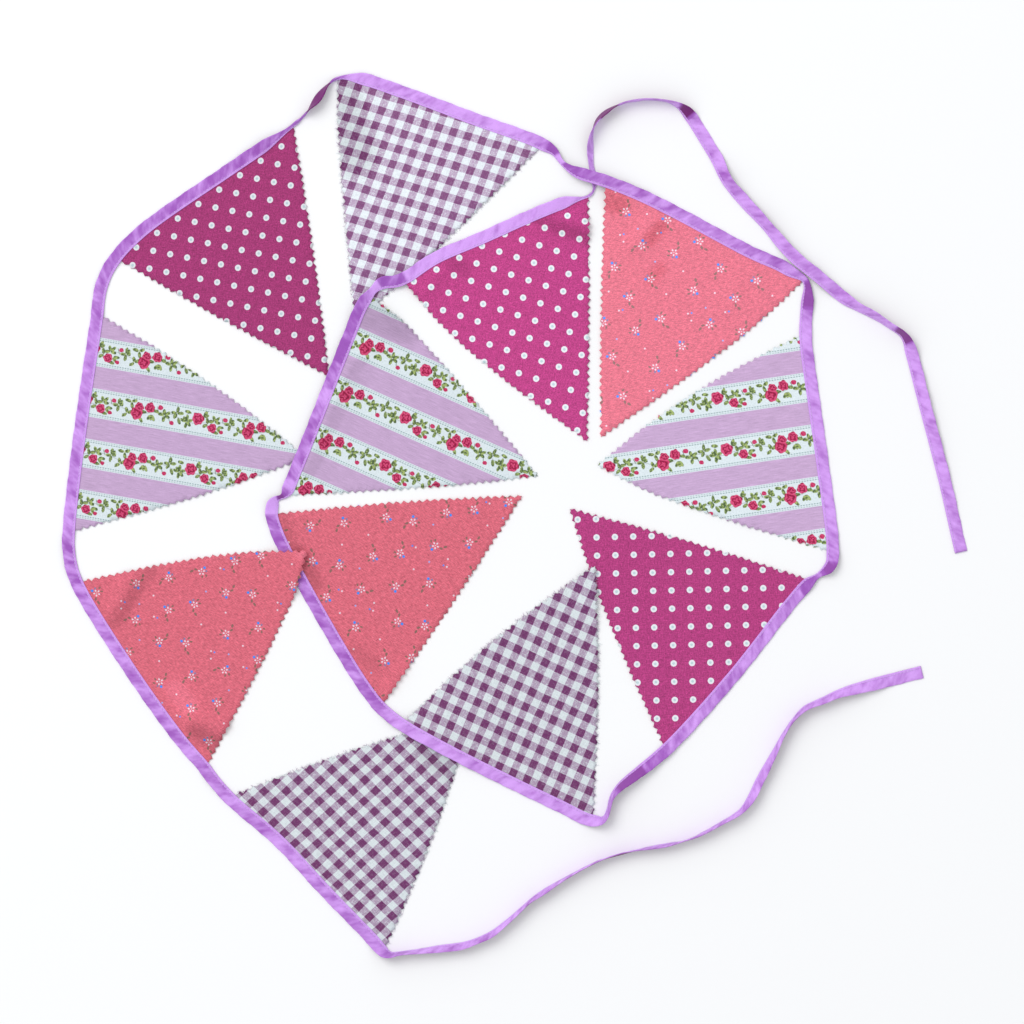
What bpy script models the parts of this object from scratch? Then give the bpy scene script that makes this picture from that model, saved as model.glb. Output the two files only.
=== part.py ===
"""A string of fabric bunting laid flat in a spiral: twelve pinked pennants held in one folded tape.

The tape starts at one free tie end, carries the pennants in four cloths that repeat, and finishes
at the other free tie end. It is folded lengthwise, and each pennant's heading lies between its two
leaves. Where the spiral crosses itself, the upper cloth is lifted over the lower one.
"""

import math

import bmesh
import bpy
import numpy as np
from mathutils.geometry import delaunay_2d_cdt

MM = 0.001

# Tape, in millimetres: a 20 mm binding folded in half.
TAPE_WIDTH = 10.0
TAPE_LEAF = 1.0
SLOT_EMPTY = 0.3
SLOT_FILLED = 2.0
SLOT_SPARE = 2.0
SLOT_EASE = 9.0
FOLD_ROUND = 1.4

# Pennants, in millimetres.
CLOTH = 1.0
TUCK = 8.0
SHOW = 1.0
PINK_PITCH = 6.0
PINK_DEPTH = 2.2
TOOTH_WANDER = 0.12
TOOTH_UNEVEN = 0.2

# Where a pennant's inner points lie, and how far below the tape it drops to the floor, in mm.
GRID_STEP = 25.0
GRID_ROW = GRID_STEP * 0.5 * math.sqrt(3.0)
HEADING_ROWS = (5.0, 12.0)
EDGE_CLEAR = 4.5
POINTS_APART = 5.0
DROOP = 9.0
DROOP_FROM = 2.0
DROOP_PER_MM = 4.5

# How finely the tape's route is followed.
ROUTE_STEP = 1.0
ROUTE_SMOOTH = 4.0
ROLL_SMOOTH = 5.0
STATION_STEP = 21.0
STATION_TURN = 22.0
STATION_ROLL = 34.0
HELD_ROLL = 12.0
STATION_LIFT = 1.8

# The plan's point that becomes the origin, so that the whole lies centred on it.
ORIGIN_X = -0.6
ORIGIN_Y = -0.1

# The tape's centre line, leg by leg. Each row is (x, y, roll, lift): place in the plan in mm, degrees
# that the tape is turned about its length with the folded edge going up, and mm that it is held off
# the floor. A pennant's heading runs from its leg's first row to its last.
LEGS = (
    ("tie_1", (
        (356.4, -29.6, 0, 0),
        (352.4, -12.0, 0, 0),
        (343.6, 26.4, 8, 0),
        (326.0, 93.6, 20, 0),
        (317.2, 128.0, 15, 0),
        (311.6, 142.4, 60, 0),
        (299.6, 151.2, 69, 0),
        (287.6, 159.2, 60, 0),
        (270.8, 168.0, 50, 0),
        (259.6, 176.0, 12, 0),
        (246.0, 187.2, 0, 5.4),
        (237.2, 194.4, 0, 6.6),
        (225.2, 204.0, 0, 6.6),
        (212.4, 217.6, 22, 1.6),
        (200.4, 232.0, 56, 0),
        (182.8, 251.2, 22, 0),
        (166.8, 268.0, 60, 0),
        (162.8, 282.4, 12, 0),
        (151.6, 300.8, 0, 0),
        (140.4, 318.4, 12, 0),
        (133.2, 326.4, 74, 0),
        (121.2, 330.4, 90, 0),
        (102.8, 332.0, 90, 0),
        (81.2, 327.2, 90, 0),
        (65.2, 315.2, 90, 0),
        (60.4, 304.8, 86, 0),
        (59.6, 294.4, 76, 0),
        (60.0, 284.0, 24, 0),
        (61.6, 273.6, 8, 0),
        (63.2, 264.0, 10, 0),
        (61.6, 256.4, 64, 0),
    )),
    ("flag_01", (
        (54.8, 254.0, 26, 0),
        (42.8, 251.2, 18, 0),
        (19.6, 242.4, 8, 0),
        (-26.0, 222.0, 0, 0),
        (-64.4, 205.2, 0, 3),
        (-93.2, 188.8, 8, 3),
    )),
    ("link_1", (
        (-101.2, 185.6, 26, 3),
        (-109.2, 183.2, 26, 3),
    )),
    ("flag_02", (
        (-122.0, 172.8, 12, 3),
        (-133.2, 143.2, 0, 3),
        (-170.0, 49.6, 0, 3),
        (-177.2, 31.2, 0, 2),
        (-184.0, 17.6, 25, 0),
    )),
    ("link_2", (
        (-189.2, 12.0, 50, 0),
        (-194.8, 8.0, 45, 0),
    )),
    ("flag_03", (
        (-194.4, -0.8, 12, 0),
        (-184.8, -27.2, 0, 0),
        (-150.8, -88.8, 0, 0),
        (-123.6, -133.6, 0, 0),
        (-109.2, -152.8, 0, 0),
    )),
    ("link_3", (
        (-100.4, -160.8, 8, 0.6),
    )),
    ("flag_04", (
        (-89.2, -168.8, 0, 3),
        (-54.8, -188.0, 0, 3),
        (-12.4, -209.6, 0, 0.6),
        (35.6, -232.8, 0, 0),
        (60.4, -244.4, 14, 0),
    )),
    ("link_4", (
        (70.0, -244.0, 69, 0),
        (74.0, -234.4, 80, 0),
        (78.0, -224.8, 62, 0),
        (88.4, -214.8, 51, 0),
        (104.4, -201.6, 46, 0),
    )),
    ("flag_05", (
        (122.0, -186.4, 10, 0),
        (174.2, -129.0, 0, 0),
        (219.6, -71.2, 0, 0),
        (234.0, -54.8, 8, 0),
    )),
    ("link_5", (
        (243.6, -48.8, 25, 0),
        (252.4, -42.4, 35, 0),
    )),
    ("flag_06", (
        (252.8, -27.2, 8, 0),
        (246.0, 38.4, 0, 0),
        (238.0, 95.2, 0, 0),
        (232.0, 142.4, 4, 0),
    )),
    ("link_6", (
        (232.4, 162.4, 14, 0),
        (234.8, 179.2, 22, 0),
        (233.2, 189.6, 18, 0),
    )),
    ("flag_07", (
        (225.2, 195.6, 6, 0),
        (188.4, 210.0, 0, 0),
        (127.6, 242.4, 0, 0),
        (99.6, 256.0, 0, 2.6),
        (74.0, 266.0, 0, 6.6),
    )),
    ("link_7", (
        (61.2, 270.0, 0, 8.6),
        (47.6, 274.4, 6, 6.0),
        (36.4, 282.4, 42, 1.0),
        (31.6, 290.4, 20, 0),
    )),
    ("flag_08", (
        (19.6, 297.6, 0, 0),
        (-34.0, 317.2, 0, 0),
        (-95.2, 340.0, 0, 0),
        (-124.4, 348.0, 14, 0),
        (-138.8, 349.2, 30, 0),
    )),
    ("link_8", (
        (-145.2, 347.2, 78, 0),
        (-151.6, 340.8, 112, 0),
        (-158.3, 331.2, 128, 0),
        (-165.2, 324.0, 112, 0),
        (-170.8, 317.6, 80, 0),
    )),
    ("flag_09", (
        (-178.8, 310.8, 32, 0),
        (-199.6, 296.0, 20, 0),
        (-233.2, 273.2, 0, 0),
        (-298.8, 227.2, 0, 0),
        (-319.2, 206.4, 0, 0),
    )),
    ("link_9", (
        (-327.6, 192.8, 5, 0),
        (-332.4, 178.4, 5, 0),
    )),
    ("flag_10", (
        (-334.8, 158.4, 0, 0),
        (-343.2, 102.4, 0, 0),
        (-351.1, 44.8, 0, 0),
        (-357.2, -11.2, 0, 0),
    )),
    ("link_10", (
        (-357.6, -24.0, 8, 0),
        (-355.6, -40.0, 8, 0),
    )),
    ("flag_11", (
        (-350.0, -56.0, 0, 0),
        (-309.2, -122.4, 0, 0),
        (-268.0, -180.0, 0, 0),
        (-250.0, -200.8, 0, 0),
    )),
    ("link_11", (
        (-240.4, -213.6, 8, 0),
    )),
    ("flag_12", (
        (-227.2, -228.0, 0, 0),
        (-188.8, -261.3, 0, 0),
        (-153.6, -299.2, 0, 0),
        (-115.6, -338.4, 0, 0),
        (-107.2, -348.0, 25, 0),
    )),
    ("tie_2", (
        (-101.2, -351.6, 69, 0),
        (-90.8, -350.0, 82, 0),
        (-78.0, -348.8, 76, 0),
        (-58.0, -346.4, 62, 0),
        (-44.4, -344.8, 62, 0),
        (-31.6, -340.8, 70, 0),
        (-18.0, -334.4, 68, 0),
        (-7.6, -326.0, 76, 0),
        (2.8, -316.8, 80, 0),
        (10.8, -309.2, 84, 0),
        (19.6, -303.2, 74, 0),
        (41.2, -289.6, 88, 0),
        (67.6, -276.0, 90, 0),
        (95.6, -268.0, 84, 0),
        (125.2, -262.9, 86, 0),
        (145.2, -256.8, 84, 0),
        (165.2, -246.0, 82, 0),
        (180.4, -236.8, 74, 0),
        (188.0, -227.2, 58, 0),
        (196.4, -210.4, 54, 0),
        (206.0, -192.0, 68, 0),
        (214.8, -174.4, 82, 0),
        (222.4, -163.2, 84, 0),
        (231.6, -154.4, 72, 0),
        (246.0, -148.4, 64, 0),
        (258.8, -142.8, 54, 0),
        (281.2, -136.8, 24, 0),
        (303.2, -131.2, 0, 0),
        (325.2, -125.6, 0, 0),
    )),
)

# Pennants in order along the tape. Each row is (name, cloth, apex x, apex y, bulge a, peak a,
# bulge b, peak b): each side bows outwards by its bulge, most at its peak, a share of its length.
PENNANTS = (
    ("flag_01", "dot", 57.2, 59.2, 1.0, 0.5, 7.0, 0.35),
    ("flag_02", "stripe", 18.0, 31.2, 11.0, 0.22, 2.0, 0.6),
    ("flag_03", "coral", 5.2, 15.2, 2.0, 0.5, 1.5, 0.5),
    ("flag_04", "gingham", 63.6, -40.8, 5.0, 0.5, 3.0, 0.5),
    ("flag_05", "dot", 43.6, 4.8, 4.0, 0.6, 2.0, 0.5),
    ("flag_06", "stripe", 66.0, 40.0, 6.0, 0.7, 7.0, 0.55),
    ("flag_07", "coral", 68.4, 62.4, 7.0, 0.35, 1.5, 0.5),
    ("flag_08", "gingham", -128.4, 146.4, 2.0, 0.5, 2.0, 0.5),
    ("flag_09", "dot", -149.2, 111.2, 1.5, 0.5, 1.5, 0.5),
    ("flag_10", "stripe", -167.6, 46.4, 4.5, 0.5, 3.5, 0.6),
    ("flag_11", "coral", -168.4, -30.4, 6.0, 0.6, 5.0, 0.6),
    ("flag_12", "gingham", -33.2, -163.2, 5.0, 0.6, 4.0, 0.5),
)

# Where a pennant is held up by what lies under it, and its soft folds. Each row is (name, x1, y1,
# x2, y2, half width, height, run-out): a ridge along a line, in mm.
RIDGES = (
    ("flag_01", -96.0, 181.0, -84.0, 190.0, 5.0, 3.0, 20.0),
    ("flag_01", 8.0, 232.0, 58.0, 212.0, 1.0, 2.2, 14.0),
    ("flag_01", -70.0, 180.0, -54.0, 196.0, 1.0, 1.8, 12.0),
    ("flag_02", -108.0, 172.0, -131.0, 140.0, 12.0, 3.0, 20.0),
    ("flag_02", -122.0, 110.0, -160.0, 30.0, 1.0, 1.2, 10.0),
    ("flag_03", -96.0, -140.0, -84.0, -126.0, 1.0, 2.0, 14.0),
    ("flag_04", -60.0, -176.0, -33.0, -164.0, 12.0, 3.0, 20.0),
    ("flag_04", 63.6, -42.0, 67.0, -70.0, 6.0, 3.0, 20.0),
    ("flag_07", 124.0, 236.0, 92.0, 226.0, 1.0, 1.6, 13.0),
    ("flag_11", -192.0, -8.0, -170.0, -50.0, 11.0, 5.6, 24.0),
    ("flag_11", -318.0, -72.0, -300.0, -100.0, 1.0, 2.6, 15.0),
    ("flag_11", -262.0, -186.0, -238.0, -176.0, 1.0, 2.2, 13.0),
)

# Colour, roughness and metallic value of each cloth.
CLOTHS = {
    "tape": ((0.56, 0.27, 0.76), 0.8, 0.0),
    "dot": ((0.48, 0.07, 0.23), 0.9, 0.0),
    "stripe": ((0.62, 0.45, 0.60), 0.9, 0.0),
    "coral": ((0.72, 0.19, 0.25), 0.9, 0.0),
    "gingham": ((0.42, 0.31, 0.45), 0.9, 0.0),
}


def remove_objects():
    for obj in list(bpy.data.objects):
        bpy.data.objects.remove(obj, do_unlink=True)


def fabric(name):
    colour, roughness, metallic = CLOTHS[name]
    material = bpy.data.materials.new(name)
    material.use_nodes = True
    shader = material.node_tree.nodes["Principled BSDF"]
    shader.inputs["Base Color"].default_value = (*colour, 1.0)
    shader.inputs["Roughness"].default_value = roughness
    shader.inputs["Metallic"].default_value = metallic
    return material


def ease(value):
    """A smooth step from 0 to 1."""
    value = np.clip(value, 0.0, 1.0)
    return value * value * (3.0 - 2.0 * value)


def catmull_rom(rows, step):
    """Points about one step apart on a curve through the rows, and each row's index among them."""
    rows = np.asarray(rows, float)
    ends = np.vstack((2 * rows[0] - rows[1], rows, 2 * rows[-1] - rows[-2]))
    points = []
    marks = []
    for k in range(1, len(ends) - 2):
        a, b, c, d = ends[k - 1 : k + 3]
        knots = np.cumsum([0.0] + [math.dist(p[:2], q[:2]) ** 0.5 for p, q in ((a, b), (b, c), (c, d))])
        count = max(2, round(math.dist(b[:2], c[:2]) / step))
        marks.append(len(points))
        for i in range(count):
            t = knots[1] + (knots[2] - knots[1]) * i / count
            first = a + (b - a) * (t - knots[0]) / (knots[1] - knots[0])
            second = b + (c - b) * (t - knots[1]) / (knots[2] - knots[1])
            third = c + (d - c) * (t - knots[2]) / (knots[3] - knots[2])
            left = first + (second - first) * (t - knots[0]) / (knots[2] - knots[0])
            right = second + (third - second) * (t - knots[1]) / (knots[3] - knots[1])
            points.append(left + (right - left) * (t - knots[1]) / (knots[2] - knots[1]))
    marks.append(len(points))
    points.append(rows[-1])
    return np.array(points), marks


def blurred(values, spread):
    """The values smoothed along the row, with both ends kept in place."""
    reach = int(3 * spread)
    before = 2 * values[0] - values[reach:0:-1]
    after = 2 * values[-1] - values[-2 : -reach - 2 : -1]
    padded = np.concatenate((before, values, after))
    kernel = np.exp(-0.5 * (np.arange(-reach, reach + 1) / spread) ** 2)
    return np.convolve(padded, kernel / kernel.sum(), "valid")


class Tape:
    """The route of the tape and its cross-section's placing at each station."""

    def __init__(self):
        rows = [row for _, leg in LEGS for row in leg]
        dense, marks = catmull_rom(rows, ROUTE_STEP)
        self.x = blurred(dense[:, 0], ROUTE_SMOOTH)
        self.y = blurred(dense[:, 1], ROUTE_SMOOTH)
        self.roll = np.radians(blurred(dense[:, 2], ROLL_SMOOTH))
        self.lift = np.maximum(blurred(dense[:, 3], ROLL_SMOOTH), 0.0)
        along_x = np.gradient(self.x)
        along_y = np.gradient(self.y)
        length = np.hypot(along_x, along_y)
        self.along = np.column_stack((along_x / length, along_y / length))
        steps = np.hypot(np.diff(self.x), np.diff(self.y))
        self.distance = np.concatenate(((0.0,), np.cumsum(steps)))
        self.spans = self.heading_spans(marks)
        self.slot = self.slot_gaps()
        self.thick = 2 * TAPE_LEAF + self.slot
        self.z = self.heights()
        self.stations = self.placed_stations()

    def heading_spans(self, marks):
        """First and last index along the route of each pennant's heading."""
        spans = {}
        row = 0
        for name, leg in LEGS:
            if name.startswith("flag"):
                spans[name] = (marks[row], marks[row + len(leg) - 1])
            row += len(leg)
        return spans

    def slot_gaps(self):
        """Gap between the two leaves: open where a heading lies in it, almost shut elsewhere."""
        share = np.zeros(len(self.x))
        for first, last in self.spans.values():
            outside = np.maximum(self.distance[first] - self.distance, self.distance - self.distance[last])
            share = np.maximum(share, 1.0 - ease((outside - SLOT_SPARE) / SLOT_EASE))
        return SLOT_EMPTY + (SLOT_FILLED - SLOT_EMPTY) * share

    def heights(self):
        """Height of the centre line, so that the lowest corner of the section is at its lift."""
        upright = 0.5 * TAPE_WIDTH * np.abs(np.sin(self.roll))
        flat = 0.5 * self.thick * np.abs(np.cos(self.roll))
        return self.lift + upright + flat

    def placed_stations(self):
        """Route indices of the sections: close together where the tape bends, rolls or climbs."""
        heading = np.unwrap(np.arctan2(self.along[:, 1], self.along[:, 0]))
        cost = np.diff(self.distance) / STATION_STEP
        cost += np.abs(np.degrees(np.diff(heading))) / STATION_TURN
        held = np.zeros(len(cost), bool)
        for first, last in self.spans.values():
            held[first:last] = True
        cost += np.abs(np.degrees(np.diff(self.roll))) / np.where(held, HELD_ROLL, STATION_ROLL)
        cost += np.abs(np.diff(self.lift)) / STATION_LIFT
        total = np.concatenate(((0.0,), np.cumsum(cost)))
        breaks = sorted({0, len(self.x) - 1, *(end for span in self.spans.values() for end in span)})
        stations = []
        for first, last in zip(breaks, breaks[1:]):
            count = max(1, math.ceil(total[last] - total[first]))
            wanted = np.linspace(total[first], total[last], count + 1)[:-1]
            stations.extend(int(np.searchsorted(total, value)) for value in wanted)
        return stations + [breaks[-1]]

    def point(self, index, across, over):
        """A point of the section: across from the open edge to the fold, over from its mid-plane."""
        along_x, along_y = self.along[index]
        roll = self.roll[index]
        side = across - 0.5 * TAPE_WIDTH
        level = side * math.cos(roll) - over * math.sin(roll)
        height = side * math.sin(roll) + over * math.cos(roll)
        return (self.x[index] + along_y * level, self.y[index] - along_x * level, self.z[index] + height)


def tape_section(thick, slot):
    """The folded tape's outline as (across, over) pairs, from the open edge round the fold."""
    half = 0.5 * thick
    gap = 0.5 * slot
    inner = TAPE_WIDTH - TAPE_LEAF
    return (
        (0.0, -half),
        (TAPE_WIDTH - FOLD_ROUND, -half),
        (TAPE_WIDTH, 0.0),
        (TAPE_WIDTH - FOLD_ROUND, half),
        (0.0, half),
        (0.0, gap),
        (inner, gap),
        (inner, -gap),
        (0.0, -gap),
    )


# A free end's three faces, as places in the section's outline: lower leaf, fold and upper leaf.
END_FACES = ((0, 1, 7, 8), (1, 2, 3, 6, 7), (3, 4, 5, 6))


def new_object(name, mesh, cloth, collection):
    mesh.materials.append(bpy.data.materials[cloth])
    obj = bpy.data.objects.new(name, mesh)
    collection.objects.link(obj)
    return obj


def located(point):
    """A plan point in millimetres as model coordinates in metres."""
    return ((point[0] - ORIGIN_X) * MM, (point[1] - ORIGIN_Y) * MM, point[2] * MM)


def build_tape(tape, collection):
    """A loft of the folded section through every station, with a face over each free end."""
    form = bmesh.new()
    rings = []
    for index in tape.stations:
        section = tape_section(tape.thick[index], tape.slot[index])
        rings.append([form.verts.new(located(tape.point(index, *pair))) for pair in section])
    for ring, following in zip(rings, rings[1:]):
        count = len(ring)
        for k in range(count):
            after = (k + 1) % count
            form.faces.new((ring[k], ring[after], following[after], following[k]))
    for ring in (rings[0], rings[-1]):
        for corners in END_FACES:
            form.faces.new([ring[k] for k in corners])
    bmesh.ops.triangulate(form, faces=form.faces)
    bmesh.ops.recalc_face_normals(form, faces=form.faces)
    mesh = bpy.data.meshes.new("tape")
    form.to_mesh(mesh)
    form.free()
    return new_object("tape", mesh, "tape", collection)


def pinked_side(start, apex, bulge, peak, outward, phase):
    """Zigzag points from the heading's end to just short of the apex, about a bowed line."""
    start = np.array(start)
    run = np.array(apex) - start
    length = math.hypot(*run)
    normal = np.array((run[1], -run[0])) / length * outward
    teeth = max(2, round(length / PINK_PITCH))
    points = []
    for k in range(1, 2 * teeth):
        wander = TOOTH_WANDER * math.sin(2.7 * k + phase)
        share = (k + wander) / (2 * teeth)
        if share < peak:
            bow = math.sin(0.5 * math.pi * share / peak)
        else:
            bow = math.cos(0.5 * math.pi * (share - peak) / (1.0 - peak))
        tooth = 0.5 * PINK_DEPTH * (1.0 + TOOTH_UNEVEN * math.sin(1.9 * k + phase))
        offset = bulge * bow + (tooth if k % 2 else -tooth)
        points.append(start + run * share + normal * offset)
    return points


def distance_to_line(point, a, b):
    """Distance from a plan point to the line between two others, and the nearest place's share of it."""
    run = (b[0] - a[0], b[1] - a[1])
    square = run[0] ** 2 + run[1] ** 2
    share = ((point[0] - a[0]) * run[0] + (point[1] - a[1]) * run[1]) / square if square else 0.0
    share = min(1.0, max(0.0, share))
    return math.dist(point, (a[0] + run[0] * share, a[1] + run[1] * share)), share


class Pennant:
    """One pennant's outline, its inner points and the height of each."""

    def __init__(self, tape, row, number):
        self.name, self.cloth, apex_x, apex_y, *sides = row
        self.apex = (apex_x, apex_y)
        first, last = tape.spans[self.name]
        stations = [index for index in tape.stations if first <= index <= last]
        self.tucked = [tape.point(index, TUCK, 0.0) for index in stations]
        self.exit = [tape.point(index, -SHOW, 0.0) for index in stations]
        bulge_a, peak_a, bulge_b, peak_b = sides
        self.side_a = pinked_side(self.exit[0][:2], self.apex, bulge_a, peak_a, -1.0, number)
        self.side_b = pinked_side(self.exit[-1][:2], self.apex, bulge_b, peak_b, 1.0, number + 0.5)
        self.ridges = [ridge[1:] for ridge in RIDGES if ridge[0] == self.name]

    def height(self, point):
        """Height of the cloth's mid-surface: on the floor, over its ridges, up into the tape's slot."""
        rise = 0.0
        for x1, y1, x2, y2, half, high, run_out in self.ridges:
            away, _ = distance_to_line(point, (x1, y1), (x2, y2))
            rise = max(rise, high * float(ease((half + run_out - away) / run_out)))
        nearest = min(
            (*distance_to_line(point, a[:2], b[:2]), a[2], b[2]) for a, b in zip(self.exit, self.exit[1:])
        )
        away, share, low, high = nearest
        slot_height = low + (high - low) * share
        reach = DROOP + DROOP_PER_MM * max(0.0, slot_height - DROOP_FROM)
        weight = 1.0 - float(ease(away / reach))
        base = 0.5 * CLOTH + rise
        return base + (slot_height - base) * weight

    def inner_points(self, outline):
        """Plan points inside the cloth: two rows below the heading, a grid, and rows by its ridges."""
        wanted = []
        for drop in HEADING_ROWS:
            for a, b in zip(self.exit[::2], self.exit[1::2]):
                middle = (0.5 * (a[0] + b[0]), 0.5 * (a[1] + b[1]))
                towards = (self.apex[0] - middle[0], self.apex[1] - middle[1])
                length = math.hypot(*towards)
                share = drop / length
                wanted.append((middle[0] + towards[0] * share, middle[1] + towards[1] * share))
        for x1, y1, x2, y2, half, _, run_out in self.ridges:
            run = (x2 - x1, y2 - y1)
            length = math.hypot(*run)
            normal = (run[1] / length, -run[0] / length)
            for share in (0.0, 0.5, 1.0):
                for away in (0.0, half, -half, half + run_out, -half - run_out):
                    x = x1 + run[0] * share + normal[0] * away
                    y = y1 + run[1] * share + normal[1] * away
                    wanted.append((x, y))
        low = np.min(outline, axis=0)
        high = np.max(outline, axis=0)
        rows = int((high[1] - low[1]) / GRID_ROW) + 1
        columns = int((high[0] - low[0]) / GRID_STEP) + 2
        for row in range(rows):
            for column in range(columns):
                x = low[0] + (column - 0.5 * (row % 2)) * GRID_STEP
                wanted.append((x, low[1] + (row + 0.5) * GRID_ROW))
        kept = []
        border = np.array(outline)
        for point in wanted:
            clear = np.min(np.hypot(*(border - point).T)) > EDGE_CLEAR
            apart = all(math.dist(point, other) > POINTS_APART for other in kept)
            if clear and apart and inside(point, outline):
                kept.append(point)
        return kept

    def surface(self):
        """The cloth's mid-surface as points and triangles."""
        below = [point[:2] for point in self.exit]
        outline = below + [tuple(p) for p in self.side_b] + [self.apex]
        outline += [tuple(p) for p in reversed(self.side_a)]
        inner = self.inner_points(outline)
        border = [point[:2] for point in self.tucked] + [below[-1]] + outline[len(below) :] + [below[0]]
        middle = below[1:-1]
        plan = border + middle + inner
        heights = (
            [p[2] for p in self.tucked]
            + [self.exit[-1][2]]
            + [self.height(p) for p in outline[len(below) :]]
            + [self.exit[0][2]]
            + [p[2] for p in self.exit[1:-1]]
            + [self.height(p) for p in inner]
        )
        count = len(border)
        edges = [(k, (k + 1) % count) for k in range(count)]
        exits = [count - 1, *range(count, count + len(middle)), len(self.tucked)]
        edges += list(zip(exits, exits[1:]))
        result = delaunay_2d_cdt(plan, edges, [], 1, 1e-6)
        points = [(*result[0][k], heights[sources[0]]) for k, sources in enumerate(result[3])]
        return points, [tuple(face) for face in result[2]]


def inside(point, outline):
    """Whether a plan point lies inside the outline, by counting crossings."""
    odd = False
    for a, b in zip(outline, outline[1:] + outline[:1]):
        if (a[1] > point[1]) != (b[1] > point[1]):
            crossing = a[0] + (point[1] - a[1]) * (b[0] - a[0]) / (b[1] - a[1])
            if crossing > point[0]:
                odd = not odd
    return odd


def build_pennant(tape, row, number, collection):
    pennant = Pennant(tape, row, number)
    points, faces = pennant.surface()
    mesh = bpy.data.meshes.new(pennant.name)
    mesh.from_pydata([located(point) for point in points], [], faces)
    obj = new_object(f"{pennant.name}_{pennant.cloth}", mesh, pennant.cloth, collection)
    shell = obj.modifiers.new("thickness", "SOLIDIFY")
    shell.thickness = CLOTH * MM
    shell.offset = 0.0
    shell.use_even_offset = True
    return obj


def main():
    remove_objects()
    collection = bpy.data.collections.new("bunting")
    bpy.context.scene.collection.children.link(collection)
    for name in CLOTHS:
        fabric(name)
    tape = Tape()
    build_tape(tape, collection)
    for number, row in enumerate(PENNANTS, start=1):
        build_pennant(tape, row, number, collection)


main()
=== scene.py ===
"""Looks for a string of fabric bunting: folded tape, pinked pennants in four cloths, stitching and frays.

Every length in the tables is in millimetres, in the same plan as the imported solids.
"""

import math
import random

import bmesh
import bpy
import numpy as np
from mathutils import Color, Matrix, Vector
from mathutils.geometry import delaunay_2d_cdt


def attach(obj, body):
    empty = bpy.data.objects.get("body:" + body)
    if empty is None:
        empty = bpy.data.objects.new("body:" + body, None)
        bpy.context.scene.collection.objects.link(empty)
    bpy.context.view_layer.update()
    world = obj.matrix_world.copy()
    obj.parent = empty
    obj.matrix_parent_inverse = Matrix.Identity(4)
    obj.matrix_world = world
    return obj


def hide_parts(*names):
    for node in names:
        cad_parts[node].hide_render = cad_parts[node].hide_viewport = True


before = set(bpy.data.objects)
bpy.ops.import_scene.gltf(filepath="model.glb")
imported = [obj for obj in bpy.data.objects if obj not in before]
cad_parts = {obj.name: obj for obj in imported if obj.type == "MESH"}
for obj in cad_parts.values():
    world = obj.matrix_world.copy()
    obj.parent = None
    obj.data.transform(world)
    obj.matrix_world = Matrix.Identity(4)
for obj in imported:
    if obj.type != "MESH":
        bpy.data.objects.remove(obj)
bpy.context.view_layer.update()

bl_info = {
    "name": "Fabric Bunting",
    "version": (1, 0, 0),
    "blender": (4, 5, 0),
    "location": "3D View > Sidebar > Bunting",
    "description": "Builds a string of pinked pennants in a folded tape, laid in a spiral",
    "category": "Object",
}

MM = 0.001
ORIGIN_X = -0.6
ORIGIN_Y = -0.1

# The photograph's frame: millimetres a pixel, and the pixel that is the plan's zero.
FRAME_SCALE = 0.8
FRAME_X = 515.5
FRAME_Y = 515.0
FRAME_SIDE = 1024

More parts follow.
